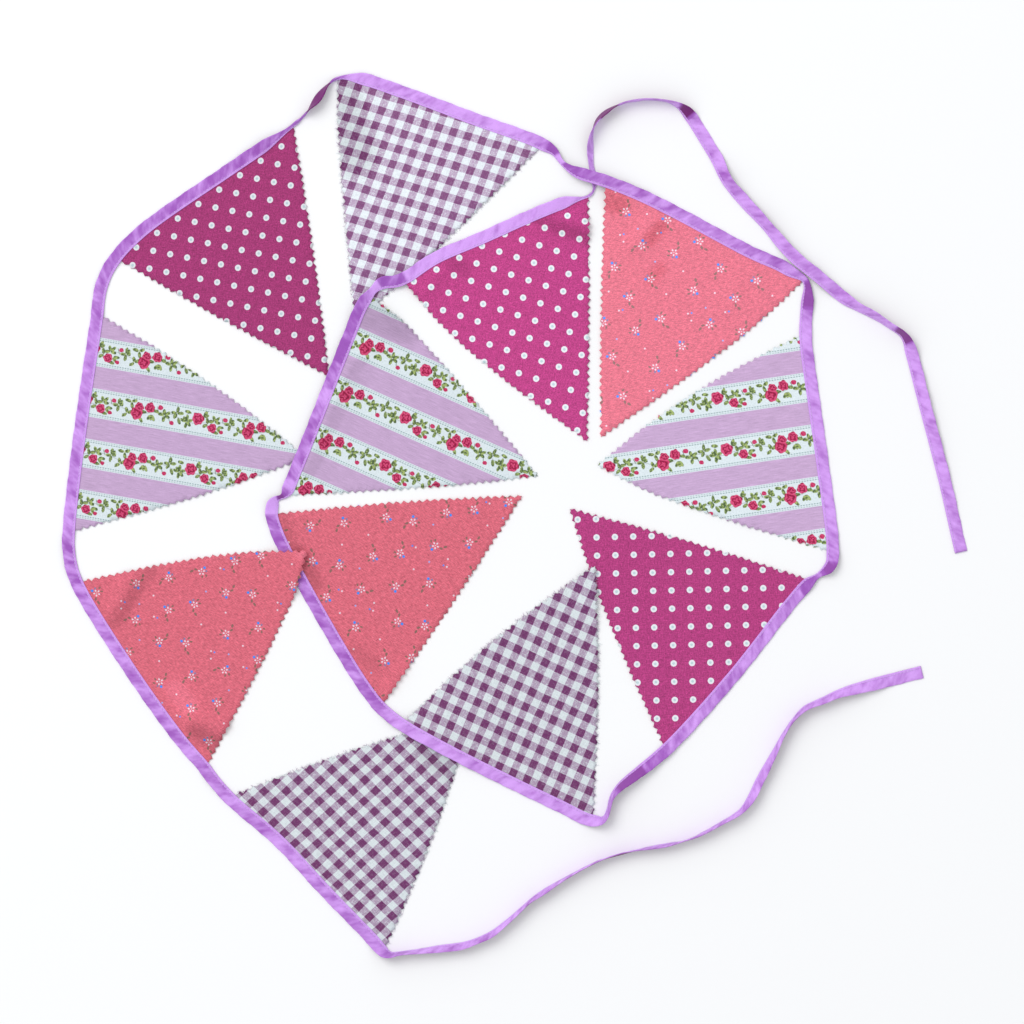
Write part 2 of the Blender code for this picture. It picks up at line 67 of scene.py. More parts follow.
# The tape's route, which follows the solids' own: each leg has its name, how light it lies to the
# window (0 deep, 1 pale) and its places, each of them (x, y, roll, lift). The places were read off
# the photo.
# A leg's lightness is painted light and shade: 0 gives the tape its painted shade, 1 its painted light.
LEGS = (
    ("tie_1", 0.62, (
        (356.4, -29.6, 0, 0), (352.4, -12.0, 0, 0), (343.6, 26.4, 8, 0), (326.0, 93.6, 20, 0),
        (317.2, 128.0, 15, 0), (311.6, 142.4, 60, 0), (299.6, 151.2, 69, 0), (287.6, 159.2, 60, 0),
        (270.8, 168.0, 50, 0), (259.6, 176.0, 12, 0), (246.0, 187.2, 0, 5.4), (237.2, 194.4, 0, 6.6),
        (225.2, 204.0, 0, 6.6), (212.4, 217.6, 22, 1.6), (200.4, 232.0, 40, 0), (182.8, 251.2, 20, 0),
        (168.4, 268.4, 38, 0), (162.4, 282.4, 10, 0), (151.6, 300.8, 0, 0), (140.4, 318.4, 10, 0),
        (133.2, 325.6, 60, 0), (122.4, 330.4, 88, 0), (102.8, 332.0, 90, 0), (82.8, 328.0, 92, 0),
        (71.6, 321.2, 112, 0), (65.2, 315.2, 104, 0), (61.2, 306.0, 84, 0), (59.6, 294.4, 54, 0),
        (60.0, 284.0, 16, 0), (61.6, 273.6, 8, 0), (63.2, 264.0, 20, 0), (62.0, 257.6, 44, 0),
    )),
    ("flag_01", 0.95, (
        (57.6, 254.6, 26, 0), (42.8, 251.2, 18, 0), (19.6, 242.4, 8, 0), (-26.0, 222.0, 0, 0),
        (-64.4, 205.2, 0, 3), (-88.8, 189.2, 6, 3),
    )),
    ("link_1", 0.7, (
        (-97.2, 186.4, 14, 3), (-106.4, 185.8, 14, 3), (-114.4, 179.2, 20, 3),
    )),
    ("flag_02", 0.3, (
        (-117.2, 175.5, 17, 3), (-122.4, 168.8, 12, 3), (-131.6, 146.8, 0, 3), (-170.0, 49.6, 0, 3),
        (-177.6, 31.2, 0, 2), (-182.8, 18.8, 12, 0),
    )),
    ("link_2", 0.8, (
        (-186.8, 14.0, 34, 0), (-191.6, 13.6, 34, 0), (-194.4, 8.0, 16, 0),
    )),
    ("flag_03", 0.25, (
        (-195.2, 0.4, 8, 0), (-191.2, -12.8, 0, 0), (-184.8, -27.2, 0, 0), (-150.8, -88.8, 0, 0),
        (-123.6, -133.6, 0, 0), (-109.2, -152.8, 0, 0),
    )),
    ("link_3", 0.7, (
        (-100.4, -160.8, 8, 0.6),
    )),
    ("flag_04", 0.7, (
        (-89.2, -168.8, 0, 3), (-54.8, -188.0, 0, 3), (-12.4, -209.6, 0, 0.6), (35.6, -232.8, 0, 0),
        (60.4, -244.4, 14, 0),
    )),
    ("link_4", 0.35, (
        (70.8, -243.6, 72, 0), (74.8, -234.4, 76, 0), (76.8, -225.6, 76, 0), (84.4, -216.8, 54, 0),
        (101.2, -203.8, 30, 0),
    )),
    ("flag_05", 0.5, (
        (122.0, -186.4, 10, 0), (174.2, -129.0, 0, 0), (219.6, -71.2, 0, 0), (234.0, -54.8, 8, 0),
    )),
    ("link_5", 0.25, (
        (242.6, -48.0, 25, 0), (252.0, -41.0, 30, 0),
    )),
    ("flag_06", 0.62, (
        (253.8, -27.2, 8, 0), (246.0, 38.4, 0, 0), (238.0, 95.2, 0, 0), (232.0, 142.4, 4, 0),
    )),
    ("link_6", 0.4, (
        (232.8, 162.4, 6, 0), (233.8, 176.0, 16, 0), (233.6, 183.6, 18, 0),
    )),
    ("flag_07", 0.45, (
        (231.6, 188.6, 14, 0), (223.6, 193.0, 6, 0), (211.6, 199.8, 0, 0), (188.4, 210.0, 0, 0),
        (127.6, 242.4, 0, 0), (99.6, 256.0, 0, 2.6), (74.0, 266.0, 0, 6.6),
    )),
    ("link_7", 0.3, (
        (61.2, 270.0, 0, 8.6), (47.6, 274.4, 6, 6.0), (36.4, 282.4, 42, 1.0), (31.6, 290.4, 20, 0),
    )),
    ("flag_08", 0.75, (
        (19.6, 297.6, 0, 0), (-34.0, 317.2, 0, 0), (-95.2, 340.0, 0, 0), (-124.4, 349.2, 6, 0),
        (-142.0, 349.6, 22, 0),
    )),
    ("link_8", 0.0, (
        (-146.0, 347.6, 84, 0), (-151.2, 342.4, 112, 0), (-157.6, 332.8, 134, 0), (-165.2, 323.6, 98, 0),
        (-170.8, 317.6, 70, 0),
    )),
    ("flag_09", 0.3, (
        (-178.8, 310.8, 32, 0), (-199.6, 296.0, 20, 0), (-233.2, 273.2, 0, 0), (-298.8, 227.2, 0, 0),
        (-319.2, 206.4, 0, 0),
    )),
    ("link_9", 0.35, (
        (-327.6, 192.8, 5, 0), (-332.4, 178.4, 5, 0),
    )),
    ("flag_10", 0.5, (
        (-334.8, 158.4, 0, 0), (-343.2, 102.4, 0, 0), (-351.1, 44.8, 0, 0), (-357.2, -11.2, 0, 0),
    )),
    ("link_10", 0.4, (
        (-357.6, -24.0, 8, 0), (-355.6, -40.0, 8, 0),
    )),
    ("flag_11", 0.45, (
        (-350.0, -56.0, 0, 0), (-309.2, -122.4, 0, 0), (-268.0, -180.0, 0, 0), (-250.0, -200.8, 0, 0),
    )),
    ("link_11", 0.45, (
        (-240.4, -213.6, 8, 0),
    )),
    ("flag_12", 0.5, (
        (-227.2, -228.0, 0, 0), (-188.8, -261.3, 0, 0), (-153.6, -299.2, 0, 0), (-115.6, -338.4, 0, 0),
        (-107.2, -348.0, 25, 0),
    )),
    ("tie_2", 0.55, (
        (-101.2, -351.6, 69, 0), (-90.8, -350.0, 82, 0), (-78.0, -348.8, 76, 0), (-58.0, -346.4, 62, 0),
        (-44.4, -344.8, 62, 0), (-31.6, -340.8, 70, 0), (-18.0, -334.4, 68, 0), (-7.6, -326.0, 76, 0),
        (2.8, -316.8, 80, 0), (10.8, -309.2, 84, 0), (19.6, -303.2, 74, 0), (41.2, -289.6, 88, 0),
        (67.6, -276.0, 94, 0), (84.0, -270.8, 100, 0), (98.0, -267.6, 92, 0), (114.0, -265.0, 80, 0),
        (125.2, -262.9, 84, 0), (135.2, -260.4, 97, 0), (145.2, -256.8, 88, 0), (165.2, -246.0, 82, 0),
        (180.4, -236.8, 74, 0), (188.0, -227.2, 58, 0), (196.4, -210.4, 54, 0), (206.0, -192.0, 68, 0),
        (214.8, -174.4, 82, 0), (222.4, -163.2, 84, 0), (231.6, -154.4, 72, 0), (246.0, -148.4, 64, 0),
        (258.8, -142.8, 54, 0), (281.2, -136.8, 24, 0), (303.2, -131.2, 0, 0), (325.2, -125.6, 0, 0),
    )),
)

# Painted light and shade where the tape turns from the light or into it: each row is (x, y, tone,
# half length), and below 0 it takes the dark under colour, which is painted shade.
TURNS = (
    (136.4, 323.6, -0.7, 6.0),
    (74.0, 322.4, -0.9, 9.0),
    (166.0, 270.4, 0.2, 3.0),
    (310.4, 144.0, -0.5, 8.0),
    (-98.0, 186.4, 0.0, 11.0),
    (-112.0, 182.0, 1.3, 3.5),
    (-129.2, 152.8, 0.0, 8.0),
    (-138.0, 130.0, -0.1, 10.0),
    (-180.0, 24.0, 0.9, 5.0),
    (-187.6, 14.0, -0.4, 4.0),
    (-194.4, 7.0, 1.3, 7.0),
    (-193.2, -7.0, 0.1, 8.0),
    (92.0, -211.2, -0.35, 14.0),
    (112.0, -195.2, -0.05, 9.0),
    (44.4, 276.4, -0.1, 8.0),
    (35.6, 284.0, 1.1, 4.0),
    (30.0, 292.0, -0.2, 5.0),
    (-157.0, 334.0, -0.9, 15.0),
    (251.2, -42.6, -0.3, 6.0),
    (233.6, -54.6, -0.1, 9.0),
    (233.8, 176.4, -0.3, 11.0),
    (-359.2, -27.6, -0.1, 2.2),
    (-357.8, -38.0, 0.0, 1.4),
    (-350.8, -54.0, 0.0, 2.2),
    (-161.0, 73.0, -0.1, 4.0),
    (-152.0, 96.0, 0.8, 5.0),
)

# Where the tape is drawn together. Each row is (x, y, share of its width, run-out).
SQUEEZES = (
    (60.6, 279.0, 0.4, 26.0),
    (61.8, 258.6, 0.13, 16.0),
    (57.0, 254.4, 0.16, 22.0),
    (36.4, 282.8, 0.44, 22.0),
    (-114.4, 179.2, 0.64, 11.0),
    (-142.0, 349.6, 0.24, 23.0),
    (-171.5, 317.0, 0.24, 14.0),
    (-179.5, 310.5, 0.26, 30.0),
    (242.0, -48.4, 0.42, 12.0),
    (232.4, 187.6, 0.5, 18.0),
    (-187.6, 14.0, 0.4, 9.0),
)

# Each row is (name, cloth, apex x, apex y, bulge a, peak a, bulge b, peak b, tone). The tone is the
# pennant's painted light and shade: 1 is the cloth's own colour, below 1 painted shade, and above 1
# painted sheen.
PENNANTS = (
    ("flag_01", "dot", 57.2, 59.2, 1.0, 0.5, 7.0, 0.35, 0.97),
    ("flag_02", "stripe", 18.0, 31.2, 5.5, 0.2, 2.0, 0.6, 0.94),
    ("flag_03", "coral", 5.2, 15.2, 2.0, 0.5, 1.5, 0.5, 0.92),
    ("flag_04", "gingham", 63.6, -40.8, 5.0, 0.5, 3.0, 0.5, 0.93),
    ("flag_05", "dot", 43.6, 4.8, 4.0, 0.6, 2.0, 0.5, 0.83),
    ("flag_06", "stripe", 66.0, 40.0, 6.0, 0.7, 7.0, 0.55, 1.0),
    ("flag_07", "coral", 68.4, 62.4, 5.0, 0.35, 1.5, 0.5, 1.1),
    ("flag_08", "gingham", -128.0, 154.4, 2.0, 0.5, 2.6, 0.25, 1.11),
    ("flag_09", "dot", -149.2, 111.2, 1.5, 0.5, 1.5, 0.5, 0.67),
    ("flag_10", "stripe", -167.6, 46.4, 4.5, 0.5, 3.5, 0.6, 0.93),
    ("flag_11", "coral", -166.8, -28.8, 6.0, 0.6, 6.0, 0.75, 0.92),
    ("flag_12", "gingham", -35.6, -163.6, 5.0, 0.6, 4.0, 0.5, 0.93),
)

# Where each pennant's print lies: the plan's place of a dot, of a dark check, of a small flower or of
# a big rose in the middle of its stripe, then the turn in degrees and the stretch across the print,
# and down it. These rows weren't chosen by hand: a scratch script fitted them to the photo.
PRINTS = {
    "flag_01": (6.1, 173.8, 72.1, 0.994, 162.8, 0.990),
    "flag_02": (-119.3, 134.6, -114.0, 1.011, -23.2, 0.999),
    "flag_03": (-141.0, -40.5, 120.7, 1.0, -149.6, 0.994),
    "flag_04": (13.3, -141.7, 64.7, 1.08, 156.2, 1.018),
    "flag_05": (125.2, -74.9, 91.4, 0.994, 181.7, 0.998),
    "flag_06": (212.1, 56.8, -81.5, 1.024, 10.5, 1.011),
    "flag_07": (96.0, 148.1, -26.4, 1.0, 65.2, 1.0),
    "flag_08": (-86.9, 277.1, 73.5, 1.07, 158.6, 1.0),
    "flag_09": (-205.4, 209.2, 78.6, 0.992, 168.0, 0.94),
    "flag_10": (-296.7, 123.9, -100.1, 0.998, -8.3, 0.961),
    "flag_11": (-284.7, -100.6, -53.9, 0.974, 37.0, 0.954),
    "flag_12": (-122.0, -245.6, 45.6, 1.042, 132.1, 0.992),
}

# Painted shade and painted light along a line on a pennant, mostly at its folds: each row is (x1,
# y1, x2, y2, half width, run-out, share of its tone), below 1 painted shade and above 1 painted light.
SHADES = {
    "flag_01": (
        (20.0, 236.0, 60.0, 221.0, 1.5, 8.0, 0.76),
        (-52.0, 204.0, -40.0, 196.0, 2.0, 8.0, 0.84),
    ),
    "flag_02": (
        (-122.8, 162.4, -88.4, 149.6, 6.0, 12.0, 0.8),
        (-124.0, 122.0, -164.0, 34.0, 4.0, 2.5, 0.9),
    ),
    "flag_03": (
        (-190.0, 2.4, -180.4, -24.0, 3.0, 9.0, 0.84),
        (-174.0, -33.0, -162.0, -54.0, 3.0, 9.0, 0.75),
        (-128.4, -108.0, -112.4, -120.0, 2.0, 8.0, 0.88),
    ),
    "flag_07": (
        (116.4, 230.4, 106.8, 220.0, 1.5, 7.0, 0.88),
        (115.6, 196.8, 108.0, 188.0, 1.5, 7.0, 0.92),
        (66.0, 256.0, 82.0, 250.0, 3.0, 10.0, 0.86),
    ),
    "flag_08": ((-142.0, 332.0, -130.8, 290.0, 9.0, 20.0, 0.78),),
    "flag_11": (
        (-290.8, -44.0, -322.0, -85.6, 1.5, 8.0, 0.83),
        (-272.0, -140.0, -262.0, -152.0, 5.0, 10.0, 1.14),
        (-256.0, -173.0, -238.0, -183.0, 2.0, 9.0, 0.76),
        (-172.0, -32.0, -166.0, -30.0, 2.0, 7.0, 1.14),
    ),
    "flag_12": ((-68.4, -186.4, -46.0, -205.6, 5.0, 14.0, 0.8),),
}

# A pennant's lifts over what lies below, and its soft folds: each row is (x1, y1, x2, y2, half width,
# height, run-out).
RIDGES = {
    "flag_01": (
        (-96.0, 181.0, -84.0, 190.0, 5.0, 3.0, 20.0),
        (20.0, 240.0, 62.0, 228.0, 1.0, 3.6, 13.0),
        (-74.0, 180.0, -54.0, 206.0, 1.0, 2.8, 13.0),
    ),
    "flag_02": (
        (-108.0, 172.0, -131.0, 140.0, 12.0, 3.0, 20.0),
        (-112.0, 140.0, -160.0, 26.0, 1.0, 1.0, 9.0),
    ),
    "flag_03": ((-96.0, -140.0, -84.0, -126.0, 1.0, 2.0, 14.0),),
    "flag_04": (
        (-60.0, -176.0, -33.0, -164.0, 12.0, 3.0, 20.0),
        (63.6, -42.0, 67.0, -70.0, 6.0, 3.0, 20.0),
    ),
    "flag_07": (
        (94.0, 216.0, 114.0, 240.0, 1.0, 2.6, 11.0),
        (168.0, 170.0, 190.0, 204.0, 1.0, 1.0, 16.0),
    ),
    "flag_11": (
        (-192.0, -8.0, -170.0, -50.0, 6.5, 5.2, 20.0),
        (-326.0, -88.0, -309.0, -54.0, 1.0, 3.4, 12.0),
        (-264.0, -166.0, -234.0, -168.0, 1.0, 3.4, 11.0),
    ),
}

# The thin cloth lies lower over what it crosses than the thicker solids do.
LIFT_SHARE = 0.68

# How far the route, its roll and its tone are smoothed along the tape, and the width of the edge of
# a stretch in TURNS.
ROUTE_SMOOTH = 2.8
ROLL_SMOOTH = 3.6
TONE_SMOOTH = 9.0
TONE_EDGE = 3.0

# Between the tape's leaves: the gap where nothing lies, the play over a pennant's cloth, the stretch
# in which the slot opens to it, and how many points of the section line the slot.
SLOT_SHUT = 0.12
SLOT_PLAY = 0.16
SLOT_OPENS = 9.0
SLOT_POINTS = 6

# How deep a pennant reaches into the tape, how much of its flat top shows, how far from the tape it
# has come down, and the least distance from the table.
TUCK = 8.0
SHOW = 1.0
DROOP = 9.0
TABLE_GAP = 0.05

# How unevenly the pinked teeth are spaced and how unevenly deep they are.
TOOTH_WANDER = 0.12
TOOTH_UNEVEN = 0.2

# The stitching's distance from the open edge, and the threads' half thicknesses.
STITCH_LINE = 1.6
STITCH_THREAD = 0.26
FRAY_THREAD = (0.07, 0.13)
FRAY_REACH = (0.5, 2.3)

# The dotted cloth's grid, the gingham's repeat, and the colour of the painted sheen on cloth that lies
# to the window.
DOT_PITCH = 14.7
DOT_RADIUS = 2.8
CHECK_REPEAT = 12.0
PAINTED_SHEEN = (0.9, 0.7, 1.0)

# The stage in metres and watts, with the camera's sensor in millimetres.
CAMERA_HEIGHT = 3.2
SENSOR = 36.0
FLOOR_HALF = 4.0
FLOOR_GREY = (0.9, 0.9, 0.9, 1.0)
WINDOW_PLACE = (-3.1, 2.8, 4.7)
WINDOW_SIZE = 4.4
WINDOW_POWER = 190.0
WINDOW_COLOUR = (1.0, 0.99, 0.98)
WORLD_COLOUR = (0.95, 0.97, 1.0, 1.0)
WORLD_LIGHT = 0.81

# The rose vine in the stripe's white bands repeats along them; all is in millimetres and degrees.
VINE_REPEAT = 94.0
STRIPE_PERIOD = 40.8
WHITE_BAND = 23.2
VINE_START = 12.0
LEAF_LENGTH = 5.3
LEAF_WIDTH = 2.7

# Each row is (along, across, turns): a spray of leaves that leave one point.
SPRAYS = (
    (4.2, 3.5, (147.0, -109.0, -33.0)),
    (6.5, -6.2, (190.0, -25.0, 75.0)),
    (14.0, 4.4, (50.0,)),
    (14.6, 0.0, (4.0,)),
    (24.3, 1.2, (124.0, 90.0, 60.0)),
    (30.6, -1.2, (196.0,)),
    (35.0, 0.0, (186.0, -98.0, -36.0, 18.0, 96.0)),
    (45.2, -3.2, (-84.0, 182.0, -12.0, 118.0)),
    (46.4, 0.0, (64.0,)),
    (54.2, 1.6, (188.0, 226.0, -92.0, -20.0, 100.0, 46.0)),
    (57.2, -5.6, (188.0,)),
    (67.4, -4.2, (-60.0, -24.0)),
    (71.8, 1.2, (-105.0, 146.0)),
    (76.0, 6.0, (12.0,)),
    (77.2, -2.0, (-48.0, -110.0, 172.0, 10.0)),
    (79.8, 1.8, (2.0, 58.0)),
    (90.2, -2.0, (-88.0, -54.0, -10.0, 172.0, 96.0)),
)

# Each row is (along, across, radius, turn): a rose seen from above, later rows over earlier ones.
ROSES = (
    (13.4, -3.0, 3.8, 40.0),
    (11.8, 2.2, 5.0, 0.0),
    (22.3, -4.0, 4.2, 70.0),
    (63.2, -2.0, 5.0, 140.0),
    (75.6, 3.5, 3.8, 215.0),
)

# Each row is (along, across, radius): a rosebud.
BUDS = (
    (31.0, -5.4, 2.2),
    (41.7, 5.1, 1.9),
    (83.7, 5.6, 1.8),
    (85.8, -4.6, 2.0),
)

# The flowered cloth's half-drop repeat, in millimetres across and down: one step across comes with
# half a step down. A scratch script fitted the repeat and the flowers' places to flowers that were
# read off the photo by eye, and placed the spots in it.
DITSY_ACROSS = 76.6
DITSY_DOWN = 69.0

# Each row is (across, down, turn of its blue dot in degrees): a small flower.
DITSY_FLOWERS = (
    (27.3, -20.5, -21.0),
    (-15.9, 21.4, 191.0),
    (14.6, 16.6, 208.0),
    (-25.5, -6.0, 106.0),
    (0.0, 0.0, -34.0),
    (-37.3, -31.1, 141.0),
    (-6.9, -27.2, 203.0),
)

# Each row is (across, down, blueness): a small spot, white at 0.
DITSY_SPOTS = (
    (31.8, 29.3, 0.0),
    (34.2, 31.0, 1.0),
    (-18.7, 8.4, 0.0),
    (-16.3, 10.1, 1.0),
    (-10.2, -13.0, 0.6),
    (-34.2, 5.0, 0.6),
    (13.3, -10.5, 0.0),
    (36.7, 25.4, 0.0),
    (9.3, -32.8, 0.0),
    (-32.9, 18.8, 0.0),
)

# A small flower's leaves about its own middle: each row is (x, y, turn, length, width), and the blue
# dot lies along x.
DITSY_LEAVES = (
    (-1.4, 4.9, 110.0, 3.0, 1.7),
    (-4.6, 6.6, 150.0, 3.2, 1.8),
    (-3.0, -3.0, 20.0, 2.4, 1.5),
    (-0.2, -4.9, 60.0, 2.4, 1.5),
)
PETALS = 5
PETAL_RING = 2.1


def length_property(name, description, millimetres):
    size = millimetres * MM
    return bpy.props.FloatProperty(name=name, description=description, default=size, unit="LENGTH")


class BuntingSizes(bpy.types.PropertyGroup):
    """Sizes that a maker could change."""

    tape_width: length_property("Tape Width", "Width of the folded tape", 10.0)
    tape_leaf: length_property("Leaf Thickness", "Thickness of a leaf of the tape", 0.45)
    cloth: length_property("Cloth Thickness", "Thickness of a pennant's cloth", 0.5)
    pinking_pitch: length_property("Pinking Pitch", "Distance between two teeth", 6.0)
    pinking_depth: length_property("Pinking Depth", "Depth of a tooth of the cut", 2.2)
    stitch: length_property("Stitch Length", "Length of a stitch with its gap", 2.8)
    mesh_step: length_property("Mesh Step", "Distance between a cloth's points", 3.4)


def colour_property(name, description, default):
    return bpy.props.FloatVectorProperty(
        name=name, description=description, default=default, subtype="COLOR", size=3, min=0.0, max=1.0
    )


class BuntingColours(bpy.types.PropertyGroup):
    """Colours of the cloths, the tape and the thread."""

    # The tape's deep and pale colours are painted shade and painted light, for faces turned from the window
    # or to it; the pale one also colours the open edge's painted highlight and the thread's twist.
    tape_shaded: colour_property("Tape, Deep", "Tape turned from the window", (0.33, 0.095, 0.47))
    tape_lit: colour_property("Tape, Pale", "Tape turned to the window", (0.66, 0.35, 0.87))
    # The under colour is painted shade: it goes on the tape's lower face and where the tape turns from the
    # light.
    tape_under_shade: colour_property("Tape, Under", "Side of the tape that lies down", (0.15, 0.009, 0.135))
    thread: colour_property("Thread", "Stitching", (0.82, 0.62, 0.98))
    magenta: colour_property("Magenta", "Ground of the dotted cloth", (0.53, 0.055, 0.24))
    lint: colour_property("Lint", "Pale fluff on the dotted cloth", (0.72, 0.36, 0.55))
    dot: colour_property("Dot", "Dots", (0.85, 0.88, 0.92))
    dot_middle: colour_property("Dot, Middle", "Worn middles of the dots", (0.52, 0.71, 0.73))
    coral: colour_property("Coral", "Ground of the flowered cloth", (0.72, 0.145, 0.20))
    slub: colour_property("Slub", "Thick pale threads of the flowered cloth", (0.88, 0.33, 0.40))
    petal: colour_property("Petal", "Petals of the small flowers", (0.86, 0.67, 0.76))
    blue: colour_property("Blue", "Small blue dots", (0.07, 0.27, 0.86))
    blue_dull: colour_property("Blue, Dull", "Second dot of each small flower", (0.13, 0.22, 0.42))
    sprig: colour_property("Sprig", "Sprigs of the small flowers", (0.16, 0.14, 0.10))
    white: colour_property("Stripe, White", "White stripes", (0.71, 0.79, 0.82))
    lilac: colour_property("Stripe, Lilac", "Lilac stripes", (0.565, 0.385, 0.60))
    dash: colour_property("Dashes", "Dotted lines of the white stripes", (0.17, 0.30, 0.30))
    rose: colour_property("Rose", "Roses", (0.50, 0.018, 0.095))
    rose_dark: colour_property("Rose, Dark", "Hollows between the petals", (0.17, 0.008, 0.035))
    rose_pale: colour_property("Rose, Pale", "Edges of the roses' petals", (0.72, 0.10, 0.23))
    leaf: colour_property("Leaf", "Leaves", (0.055, 0.1, 0.018))
    leaf_pale: colour_property("Leaf, Pale", "Tips of the leaves", (0.36, 0.46, 0.13))
    check_dark: colour_property("Check, Dark", "Squares where both colours cross", (0.165, 0.034, 0.135))
    check_mid: colour_property("Check, Middle", "Squares where one colour crosses white", (0.46, 0.35, 0.48))
    check_pale: colour_property("Check, Pale", "White squares", (0.70, 0.76, 0.78))


class Term:
    """A socket of a material's nodes that takes part in Python arithmetic."""

    def __init__(self, paint, socket):
        self.paint = paint
        self.socket = socket

    def __add__(self, other):
        return self.paint.maths("ADD", self, other)

    def __sub__(self, other):
        return self.paint.maths("SUBTRACT", self, other)

    def __rsub__(self, other):
        return self.paint.maths("SUBTRACT", other, self)

    def __mul__(self, other):
        return self.paint.maths("MULTIPLY", self, other)

    def __truediv__(self, other):
        return self.paint.maths("DIVIDE", self, other)

    def __rtruediv__(self, other):
        return self.paint.maths("DIVIDE", other, self)

    def __mod__(self, other):
        return self.paint.maths("FLOORED_MODULO", self, other)

    def __abs__(self):
        return self.paint.maths("ABSOLUTE", self)

    __radd__ = __add__
    __rmul__ = __mul__


class Paint:
    """A material and the nodes that are added to it."""

    def __init__(self, name):
        self.material = bpy.data.materials.new(name)
        self.material.use_nodes = True
        self.tree = self.material.node_tree
        self.shader = self.tree.nodes["Principled BSDF"]

    def node(self, kind, settings=None, inputs=None, output=0):
        """Adds a node: its settings first, then its sockets' values or links."""
        made = self.tree.nodes.new(kind)
        for key, value in (settings or {}).items():
            setattr(made, key, value)
        for key, value in (inputs or {}).items():
            self.feed(made.inputs[key], value)
        return Term(self, made.outputs[output])

    def feed(self, socket, value):
        if isinstance(value, Term):
            self.tree.links.new(value.socket, socket)
        elif isinstance(value, (tuple, Color)) and len(socket.default_value) == 4:
            socket.default_value = (*value, 1.0)
        else:
            socket.default_value = value

    def maths(self, operation, *values):
        return self.node("ShaderNodeMath", {"operation": operation}, dict(enumerate(values)))

    def most(self, *values):
        """The highest of several values."""
        result = values[0]
        for value in values[1:]:
            result = self.maths("MAXIMUM", result, value)
        return result

    def wave(self, value):
        return self.maths("SINE", value)

    def step(self, value, low, high):
        """A smooth step from 0 at low to 1 at high, which may lie below it."""
        return self.node(
            "ShaderNodeMapRange",
            {"interpolation_type": "SMOOTHSTEP"},
            {"Value": value, "From Min": low, "From Max": high},
        )

    def vector(self, operation, first, second=None, output=0):
        inputs = {0: first} if second is None else {0: first, 1: second}
        return self.node("ShaderNodeVectorMath", {"operation": operation}, inputs, output)

    def length(self, vector):
        return self.vector("LENGTH", vector, output="Value")

    def joined(self, x, y, z=0.0):
        return self.node("ShaderNodeCombineXYZ", None, {0: x, 1: y, 2: z})

    def parts(self, vector):
        split = self.node("ShaderNodeSeparateXYZ", None, {0: vector})
        return split, Term(self, split.socket.node.outputs[1])

    def moved(self, vector, x, y, turn, size_x=1.0, size_y=1.0):
        """The vector as seen from a place, turned by degrees and measured in its own sizes."""
        return self.node(
            "ShaderNodeMapping",
            {"vector_type": "TEXTURE"},
            {"Vector": vector, "Location": (x, y, 0.0), "Rotation": (0.0, 0.0, math.radians(turn)),
             "Scale": (size_x, size_y, 1.0)},
        )

    def mix(self, factor, first, second):
        return self.node("ShaderNodeMix", {"data_type": "RGBA"}, {0: factor, 6: first, 7: second}, 2)

    def shade(self, colour, amount):
        """The colour made darker or lighter by a factor."""
        return self.vector("MULTIPLY", colour, self.joined(amount, amount, amount))

    def noise(self, vector, scale, detail=2.0, roughness=0.5):
        return self.node(
            "ShaderNodeTexNoise",
            None,
            {"Vector": vector, "Scale": scale, "Detail": detail, "Roughness": roughness},
        )

    def held(self, name, output="Fac"):
        """A value that the mesh holds at each of its points."""
        return self.node("ShaderNodeAttribute", {"attribute_name": name}, None, output)

    def place(self):
        """The cloth's own coordinates in millimetres, across and down the cut."""
        return self.held("cut", "Vector")

    def threads(self, place, pitch, uneven=0.5):
        """Height of a plain weave of this pitch, whose threads vary in thickness."""
        x, y = self.parts(place)
        sway = self.noise(place, 0.35) - 0.5
        turn = 2.0 * math.pi / pitch
        over = self.wave((x + sway * uneven) * turn)
        under = self.wave((y + sway * uneven) * turn)
        return over * under * 0.5 + 0.5

    def streaks(self, place, size_x, size_y, detail=2.0, roughness=0.6, start=(0.0, 0.0), turn=0.0):
        """Noise drawn out into streaks of these sizes."""
        return self.noise(self.moved(place, *start, turn, size_x, size_y), 1.0, detail, roughness)

    def heather(self, place, along, across, strength):
        """A factor near 1 that streaks the colour along the threads."""
        long_streaks = self.streaks(place, along, across, 3.0)
        cross_streaks = self.streaks(place, across, along, 3.0, start=(3.0, 7.0))
        return (long_streaks + cross_streaks - 1.0) * strength + 1.0

    def lit(self, colour):
        """The colour with the piece's painted light and shade: painted shade below a tone of 1, and a
        painted sheen above it.
        """
        tone = self.held("tone")
        sheen_share = self.most((tone - 1.0) * 0.5, 0.0)
        return self.mix(sheen_share, self.shade(colour, tone), PAINTED_SHEEN)

    def finish(self, colour, roughness, height, depth, sheen=0.25):
        """Links the colour, a roughness and a bump of this depth in metres."""
        self.feed(self.shader.inputs["Base Color"], colour)
        self.feed(self.shader.inputs["Roughness"], roughness)
        bump = self.node("ShaderNodeBump", None, {"Strength": 0.6, "Distance": depth, "Height": height})
        self.feed(self.shader.inputs["Normal"], bump)
        self.shader.inputs["Sheen Weight"].default_value = sheen
        self.shader.inputs["Sheen Roughness"].default_value = 0.5
        self.shader.inputs["Specular IOR Level"].default_value = 0.25
        return self.material


